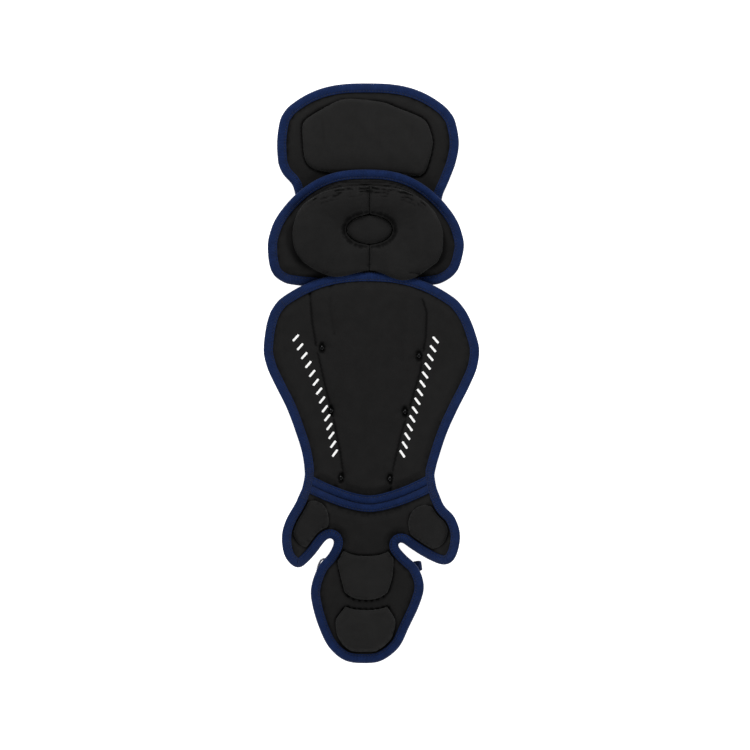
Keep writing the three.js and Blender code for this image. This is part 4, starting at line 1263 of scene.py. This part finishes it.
dashes("print_dashes_left", (-94.4, 44.4), (-45.6, -99.4), (48, 54), 6.6)
dashes("print_dashes_right", (80.1, 41.9), (38.5, -100.3), (-49, -56), -0.4)

# %% [markdown]
# ## The foot
# Below the seam one pad makes both ankle wings and the instep tongue. An oval cushion sits over each ankle
# bone and two more lie on the tongue, moulded like the one on the thigh. So the thigh's function makes
# all four. Where the two on the tongue face each other, their grooves are beaded by the sewing.

# %% Outlines of the ankle and instep cushions
left_ankle = clear_of_binding(foot, oval(-75.5, seam - 24.5, 43, 59, -14))
right_ankle = clear_of_binding(foot, oval(70.5, seam - 28.5, 47, 56, 25))
instep_upper_rows = table("at left right", (-0.136, -0.82, 0.9), (0.09, -1, 1), (0.43, -0.9, 0.97),
                          (0.82, -0.75, 0.8))
instep_lower_rows = table("at left right", (-0.08, -0.65, 0.7), (0.28, -0.96, 0.96), (0.56, -0.91, 0.88),
                          (0.78, -0.75, 0.76))
instep_x, instep_length, instep_to_toe = -7.5, 55, 12
instep_upper_top = seam - 0.325 * foot_length
instep_lower_top = toe + instep_to_toe + instep_length
upper_instep = row_outline(instep_upper_rows, instep_length, 70, instep_upper_top) + [instep_x, 0]
lower_instep = row_outline(instep_lower_rows, instep_length, 78, instep_lower_top) + [instep_x, 0]
upper_instep = clear_of_binding(foot, resample(upper_instep, 2))
lower_instep = clear_of_binding(foot, resample(lower_instep, 2))
print("the lower instep cushion ends", round(float(instep_lower_top - toe), 1), "mm above the toe")

# %% The foot pad and its four cushions
foot.details += [slack, pucker]
foot.details += [groove(line, 2.0, 2.2) for line in (left_ankle, right_ankle)]
foot.details += [groove(line, 2.2, 2.2) for line in (upper_instep, lower_instep)]
upper_heel = upper_instep[upper_instep[:, 1] < upper_instep[:, 1].min() + 7]
lower_crown = lower_instep[lower_instep[:, 1] > lower_instep[:, 1].max() - 5]
for line in (upper_heel, lower_crown):
    line = line[np.argsort(line[:, 0])]
    foot.details.append(groove(line, 1.4, 2.8, closed=False, beads=1.0))
pad_piece("foot_pad", foot, 2.2)
cushion_piece("ankle_cushion_left", foot, left_ankle, moulded, step=2, crown_way=20)
cushion_piece("ankle_cushion_right", foot, right_ankle, moulded, step=2, crown_way=20)
# the instep cushions wear the lighter cloth, which is painted light
cushion_piece("instep_cushion_upper", foot, upper_instep, painted_light_cushion_cloth, step=2)
cushion_piece("instep_cushion_lower", foot, lower_instep, painted_light_cushion_cloth, step=2)

# %% [markdown]
# ## Binding and stitches
# Tape folds over every pad's edge and is sewn through once, close to its inner edge. On a curve the tape
# puckers and its ribs fan out. A curve with a bevel could draw it, but not a section that changes along
# the way. So a folded section is swept round the outline, and a ripple along its length gives the puckers.

# %% Where the tape lies
seam_line = under_seam + [0, seam_gap / 2]
tape_width = binding_width - 1
seam_close = 0.7
seam_narrowing = {0: 0.4, -1: 1.2, 1: 2.6}
tape_section = table(
    "share lift",
    (0.0, 0.55), (0.0, 0.9), (0.05, 0.99), (0.12, 0.98), (0.18, 0.87), (0.24, 0.97), (0.45, 1.02),
    (0.62, 0.97), (0.76, 0.87), (0.87, 0.7), (0.95, 0.42), (1.0, 0.0),
)


def by_seam(p):
    return smooth((16 - line_distance(seam_line, p)) / 6)


def left_of(path, closed=True):
    if closed:
        return inset(path, 1.0) - path
    longer = np.vstack([2 * path[0] - path[1], path, 2 * path[-1] - path[-2]])
    return (inset(longer, 1.0) - longer)[1:-1]


print("the seam's line has", len(seam_line), "points")


# %% Sweep the tape's folded section along an edge
def tape_strip(name, path, base, width, reach, puckers, half, closed=True):
    size = len(path)
    share = np.concatenate([tape_section["share"], tape_section["share"][-2::-1]])
    lift = np.concatenate([tape_section["lift"], -tape_section["lift"][-2::-1]])
    inward = left_of(path, closed)
    length = np.concatenate([[0], np.cumsum(np.hypot(*np.diff(path, axis=0).T))]) * MM
    verts, uvs = [], []
    for s, h in zip(share, lift):
        across = width - s * (width + nose_out + reach)
        spots = path + inward * across[:, None]
        z = base(spots) + (half + puckers * np.sin(np.pi * min(1.0, s * 1.2))) * h
        verts.append(np.column_stack([spots, z]))
        uvs.append(np.column_stack([length, np.full(size, (1 - s) * 0.012 * (1 if h >= 0 else -1))]))
    verts = np.stack(verts, 1).reshape(-1, 3)
    uvs = np.stack(uvs, 1).reshape(-1, 2)
    count = len(share)
    faces = []
    for i in range(size if closed else size - 1):
        j = (i + 1) % size
        for k in range(count):
            m = (k + 1) % count
            faces.append((i * count + k, i * count + m, j * count + m, j * count + k))
    if not closed:
        faces += [list(range(count))[::-1], list(range((size - 1) * count, size * count))]
    return new_object(name, verts, faces, uv=uvs, sharp=60)


print("the tape's section has", 2 * len(tape_section["share"]) - 1, "points")


# %% The binding of one pad
def binding_piece(name, pad, seam_side, step=2.2):
    loop = resample(softened(pad.loop, 2), step)
    size = len(loop)
    at = np.arange(size) * step
    pulls = np.sin(2 * np.pi * at / 6.3) + np.sin(2 * np.pi * at / 4.4 + 1.1)
    arrive = loop - np.roll(loop, 1, axis=0)
    leave = np.roll(arrive, -1, axis=0)
    bend = np.abs(arrive[:, 0] * leave[:, 1] - arrive[:, 1] * leave[:, 0]) / step**2
    bend = np.convolve(np.concatenate([bend[-4:], bend, bend[:4]]), np.ones(9) / 9, "valid")
    puckers = (0.14 + np.minimum(0.4, 3 * bend)) * pulls
    narrow = by_seam(loop) * seam_narrowing[seam_side]
    facing = (-seam_side * left_of(loop)[:, 1] > 0.35) & (line_distance(seam_line, loop) < 6)
    reach = np.convolve(np.tile(facing, 3), np.ones(3) / 3, "same")[size : 2 * size] * seam_close
    piece = tape_strip(name, loop, pad.base, tape_width - narrow, reach, puckers, band_half)
    return settle(piece, tape, "binding_tape", name)


print("the seam narrows the foot's tape by", seam_narrowing[1], "mm")

# %% [markdown]
# ## Stitches
# A lockstitch shows as short rows of thread, each end pulled into the tape. Painted stitches would throw
# no shadow. Small spindles of six sides laid along a line are enough at this size, and one object can
# hold a whole row of them.


# %% Stitches in rows
thread_radius = 0.36


def stitches(name, paths, pitch, long=2.5):
    verts, faces = [], []
    profile = [(-0.5, 0.0), (-0.42, 0.7), (-0.2, 1.0), (0.2, 1.0), (0.42, 0.7), (0.5, 0.0)]
    sides = 6
    for path, closed in paths:
        path = resample(path, pitch, closed)
        if closed:
            runs = np.roll(path, -1, axis=0) - np.roll(path, 1, axis=0)
        else:
            runs = np.gradient(path, axis=0)
        runs /= np.linalg.norm(runs, axis=1)[:, None]
        for spot, run in zip(path, runs):
            side = np.cross(run, (0, 0, 1))
            side /= np.linalg.norm(side)
            up = np.cross(side, run)
            start = len(verts)
            for at, fat in profile:
                for k in range(sides):
                    turn = 2 * math.pi * k / sides
                    ring = side * math.cos(turn) + up * math.sin(turn)
                    verts.append(spot + run * at * long + ring * thread_radius * fat)
            for a in range(len(profile) - 1):
                for k in range(sides):
                    n = (k + 1) % sides
                    i, j = start + a * sides, start + (a + 1) * sides
                    faces.append((i + k, i + n, j + n, j + k))
    return settle(new_object(name, np.array(verts), faces), thread, "binding_tape")


def stitch_row(name, pad):
    loop = resample(softened(pad.loop, 6), 1.9)
    line = loop + left_of(loop) * (tape_width - 1.9 - 2.2 * by_seam(loop))[:, None]
    rows = [(line, pad.base(line) + side * band_half * 0.97) for side in (1, -1)]
    return stitches(name, [(np.column_stack([flat, z]), True) for flat, z in rows], 3.8)


print("thread is", 2 * thread_radius, "mm thick")

# %% Bind and stitch the four pads
for name, pad, seam_side in (("thigh", thigh, 0), ("knee", knee, 0), ("shin", shin, -1), ("foot", foot, 1)):
    band = binding_piece(name + "_binding", pad, seam_side)
    row = stitch_row(name + "_stitches", pad)
    print(band.name, len(band.data.polygons), "faces,", row.name, len(row.data.polygons), "faces")

# %% [markdown]
# ## The ends of the seam
# On the guard the tape at each side runs on unbroken past the seam, and four tight rows of stitches hold
# it there. The two bindings only meet at that place, so one more short tape is laid over each meeting.


# %% Tape carried over the two ends of the seam
def ankle_base(p):
    return np.where(p[:, 1] > seam + seam_rise, shin.base(p), foot.base(p))


def outermost(pad, side, y):
    near = pad.loop[(np.abs(pad.loop[:, 1] - y) < 1.6) & (side * pad.loop[:, 0] > 0)]
    return near[np.argmax(side * near[:, 0])]


for label, side in (("left", -1), ("right", 1)):
    corner = seam + seam_rise
    spots = [outermost(shin, side, corner + d) for d in (20, 13, 6)]
    spots += [outermost(foot, side, corner - d) for d in (8, 15, 22)]
    spots = np.array(spots if side < 0 else spots[::-1])
    path = resample(through(spots), 1.6, closed=False)
    size = len(path)
    fade = smooth(np.minimum(np.arange(size), np.arange(size)[::-1]) / 5)
    strip = tape_strip("seam_end_" + label, path, ankle_base, np.full(size, tape_width - 0.6),
                       0.15, 0.1 * np.sin(2.4 * np.arange(size)), band_half + 0.1 + 0.35 * fade,
                       closed=False)
    settle(strip, tape, "binding_tape")
    inward = left_of(path, closed=False)
    rows = []
    for across in (1.6, 3.6, 5.6, 7.6):
        line = (path + inward * across)[3:-3]
        rows.append((np.column_stack([line, ankle_base(line) + band_half + 0.42]), False))
    stitches("seam_tack_" + label, rows, 2.9, long=2.2)
print("seam ends covered")

# %% [markdown]
# ## The shells
# The hard shells face away from the leg, so the photograph hides them. They are plain moulded plates bent
# like the pads, with rounded rims. The same quilt of two height fields makes them, so they follow the
# pads exactly and keep an even gap.


# %% The shells
def shell_piece(name, pad, high, low, clearance):
    fine = resample(pad.loop, 3)
    kept = inset(fine, shell_inset)
    kept = kept[line_distance(fine, kept, closed=True) > 0.97 * shell_inset]
    kept[:, 1] = np.clip(kept[:, 1], low, high)
    outline = resample(softened(resample(kept, 2), 4), 3)
    sink = edge_half + clearance

    def rounded(way):
        return 0.9 * (1 - np.sqrt(1 - (1 - np.minimum(1, way / 1.5)) ** 2))

    def upper(p, way):
        return pad.base(p) - sink - rounded(way)

    def lower(p, way):
        rib = 0.8 * np.exp(-(((way - 9) / 2.2) ** 2))
        return np.maximum(0, pad.base(p) - sink - shell_thickness - rib + rounded(way))

    piece = quilt(name, outline, 4, upper, lower, rings=(0.4, 0.9, 1.6, 3.2, 5, 7, 9, 11, 13), sharp=40)
    return settle(piece, plastic, "shell_plastic", name)


shell_piece("thigh_shell", thigh, 1e6, knee_top + 4, 0.6 * shell_gap)
shell_piece("knee_shell", knee, knee_top - 0.37 * knee_length, -1e6, shell_gap)
shell_piece("shin_shell", shin, shin_top - knee_tuck - 10, -1e6, shell_gap)
shell_piece("foot_shell", foot, 1e6, -1e6, shell_gap)

# %% [markdown]
# ## Webbing loops and the ring
# A steel ring and two folded loops of webbing at the ankle take a strap's hook. Webbing is stiff enough
# to keep one round bend, so its side view is drawn once as two lines and spread across its width.

# %% The side view of a webbing loop
ring_width, ring_wire = 24, 3.2
webbing_width, webbing_cloth, ring_eye = 13, 1.8, ring_wire + 2.4
loop_reach = ring_eye / 2 + webbing_cloth


def loop_lines(tail):
    bend = np.linspace(-np.pi / 2, np.pi / 2, 17)
    lines = []
    for radius, inset_by in ((loop_reach, 0), (ring_eye / 2, webbing_cloth)):
        turned = np.column_stack([radius * np.cos(bend), -loop_reach + radius * np.sin(bend)])
        start_at = (-loop_reach, -2 * loop_reach + inset_by)
        lines.append(np.vstack([[start_at], turned, [(-tail, -inset_by)]]))
    return lines


print("a loop stands out by", round(loop_reach, 1), "mm")


# %% The webbing loops
def webbing_piece(name, x, y, turn, tail):
    outside, inside = loop_lines(tail)
    c, s = math.cos(math.radians(turn)), math.sin(math.radians(turn))
    sides = (-webbing_width / 2, webbing_width / 2)
    corners = [np.array([[x - u * c - v * s, y - u * s + v * c]]) for u in (0, tail) for v in sides]
    face = min(float(foot.base(q)[0]) for q in corners) - edge_half - shell_gap - shell_thickness
    height = face - gap
    strips = np.linspace(-webbing_width / 2, webbing_width / 2, 7)
    verts, uvs, faces = [], [], []
    lengths = np.concatenate([[0], np.cumsum(np.hypot(*np.diff(outside, axis=0).T))])
    for line in (outside, inside):
        for k, (along_x, z) in enumerate(line):
            for v in strips * (1 - 0.2 * max(0.0, along_x / loop_reach) ** 2):
                verts.append((x + along_x * c - v * s, y + along_x * s + v * c, height + z))
                uvs.append((lengths[k] * MM, v * MM))
    count, wide = len(outside), len(strips)

    def at(layer, k, j):
        return layer * count * wide + k * wide + j

    for k in range(count - 1):
        for j in range(wide - 1):
            faces.append((at(0, k, j), at(0, k, j + 1), at(0, k + 1, j + 1), at(0, k + 1, j)))
            faces.append((at(1, k, j), at(1, k + 1, j), at(1, k + 1, j + 1), at(1, k, j + 1)))
        faces.append((at(0, k, 0), at(0, k + 1, 0), at(1, k + 1, 0), at(1, k, 0)))
        faces.append((at(0, k, wide - 1), at(1, k, wide - 1), at(1, k + 1, wide - 1), at(0, k + 1, wide - 1)))
    for j in range(wide - 1):
        faces.append((at(0, 0, j), at(1, 0, j), at(1, 0, j + 1), at(0, 0, j + 1)))
        end = count - 1
        faces.append((at(0, end, j), at(0, end, j + 1), at(1, end, j + 1), at(1, end, j)))
    settle(new_object(name, verts, faces, uv=uvs, sharp=40), webbing, "binding_tape", name)
    print(name, "hangs", round(height, 1), "mm up")
    return x, y, height - loop_reach


left_turn = 157
left_eye = webbing_piece("ankle_tab_left", -47.6, seam - 85, left_turn, 12)
webbing_piece("ankle_tab_right", 58.5, seam - 78, 8, 20)


# %% The ring
def ring_piece(name, eye, turn):
    reach = ring_width / 2 - ring_wire / 2
    centre = (eye[0] + (reach - gap) * math.cos(turn), eye[1] + (reach - gap) * math.sin(turn))
    around, section = 64, 14
    verts, faces = [], []
    for i in range(around):
        angle = 2 * math.pi * i / around
        square = 1 / (abs(math.cos(angle)) ** 4 + abs(math.sin(angle)) ** 4) ** 0.25
        for k in range(section):
            tube = 2 * math.pi * k / section
            r = square * reach + ring_wire / 2 * math.cos(tube)
            verts.append((
                centre[0] + r * math.cos(angle + turn),
                centre[1] + r * math.sin(angle + turn),
                eye[2] + ring_wire / 2 * math.sin(tube),
            ))
            a, b = i * section + k, i * section + (k + 1) % section
            shift = ((i + 1) % around - i) * section
            faces.append((a, a + shift, b + shift, b))
    print(name, len(faces), "faces")
    return settle(new_object(name, verts, faces), steel, "fastener_steel", name)


ring_piece("ankle_ring", left_eye, math.radians(left_turn))

# %% [markdown]
# ## Floor, light and camera
# The guard lies on a white table that glows a little, as a light table in a studio does, and the camera
# looks straight down on it from far away, so that nothing leans. One broad soft light stands beyond the
# thigh end and weaker ones fill the rest. A sky picture could light it too, but lamps are easier to steer.

# %% The floor
table_half, table_drop = 6, 0.0004
table_corners = [(-table_half, -table_half), (table_half, -table_half), (table_half, table_half),
                 (-table_half, table_half)]
floor_mesh = bpy.data.meshes.new("floor")
floor_mesh.from_pydata([(x, y, -table_drop) for x, y in table_corners], [], [(0, 1, 2, 3)])
floor = bpy.data.objects.new("floor", floor_mesh)
bpy.context.scene.collection.objects.link(floor)
paper, tree, shader, where = finish_of("Lit white table")
shader.inputs["Base Color"].default_value = (0.85, 0.85, 0.85, 1)
shader.inputs["Roughness"].default_value = 0.9
shader.inputs["Emission Color"].default_value = (1, 1, 1, 1)
shader.inputs["Emission Strength"].default_value = 0.8
floor.data.materials.append(paper)
print("the table is", 2 * table_half, "m wide")


# %% Lights
def softbox(name, place_at, size_x, size_y, watts):
    data = bpy.data.lights.new(name, "AREA")
    data.shape = "RECTANGLE"
    data.size, data.size_y, data.energy = size_x, size_y, watts
    lamp = bpy.data.objects.new(name, data)
    lamp.location = place_at
    lamp.rotation_euler = (-Vector(place_at)).to_track_quat("-Z", "Y").to_euler()
    bpy.context.scene.collection.objects.link(lamp)


softbox("key", (-0.2, 2.4, 1.7), 2.0, 0.9, 64)
softbox("fill_left", (-2.3, -0.2, 1.1), 1.0, 1.4, 26)
softbox("fill_right", (2.3, 0.0, 1.1), 1.0, 1.4, 26)
softbox("fill_toe", (0.1, -2.4, 1.5), 1.6, 0.8, 16)
world = bpy.data.worlds.new("studio")
world.use_nodes = True
world.node_tree.nodes["Background"].inputs["Color"].default_value = (1, 1, 1, 1)
world.node_tree.nodes["Background"].inputs["Strength"].default_value = 0.35
bpy.context.scene.world = world
bpy.context.scene.view_settings.view_transform = "Standard"
print("lights:", len(bpy.data.lights))

# %% The camera, straight above
camera_data = bpy.data.cameras.new("camera")
distance, picture_width, middle_height = 10.0, 0.9375, 0.03
camera_data.lens = camera_data.sensor_width * (distance - middle_height) / picture_width
camera_data.clip_end = 100
camera = bpy.data.objects.new("camera", camera_data)
camera.location = (0.0044, -0.0019, distance)
bpy.context.scene.collection.objects.link(camera)
bpy.context.scene.camera = camera
print("the lens is", round(camera_data.lens), "mm")
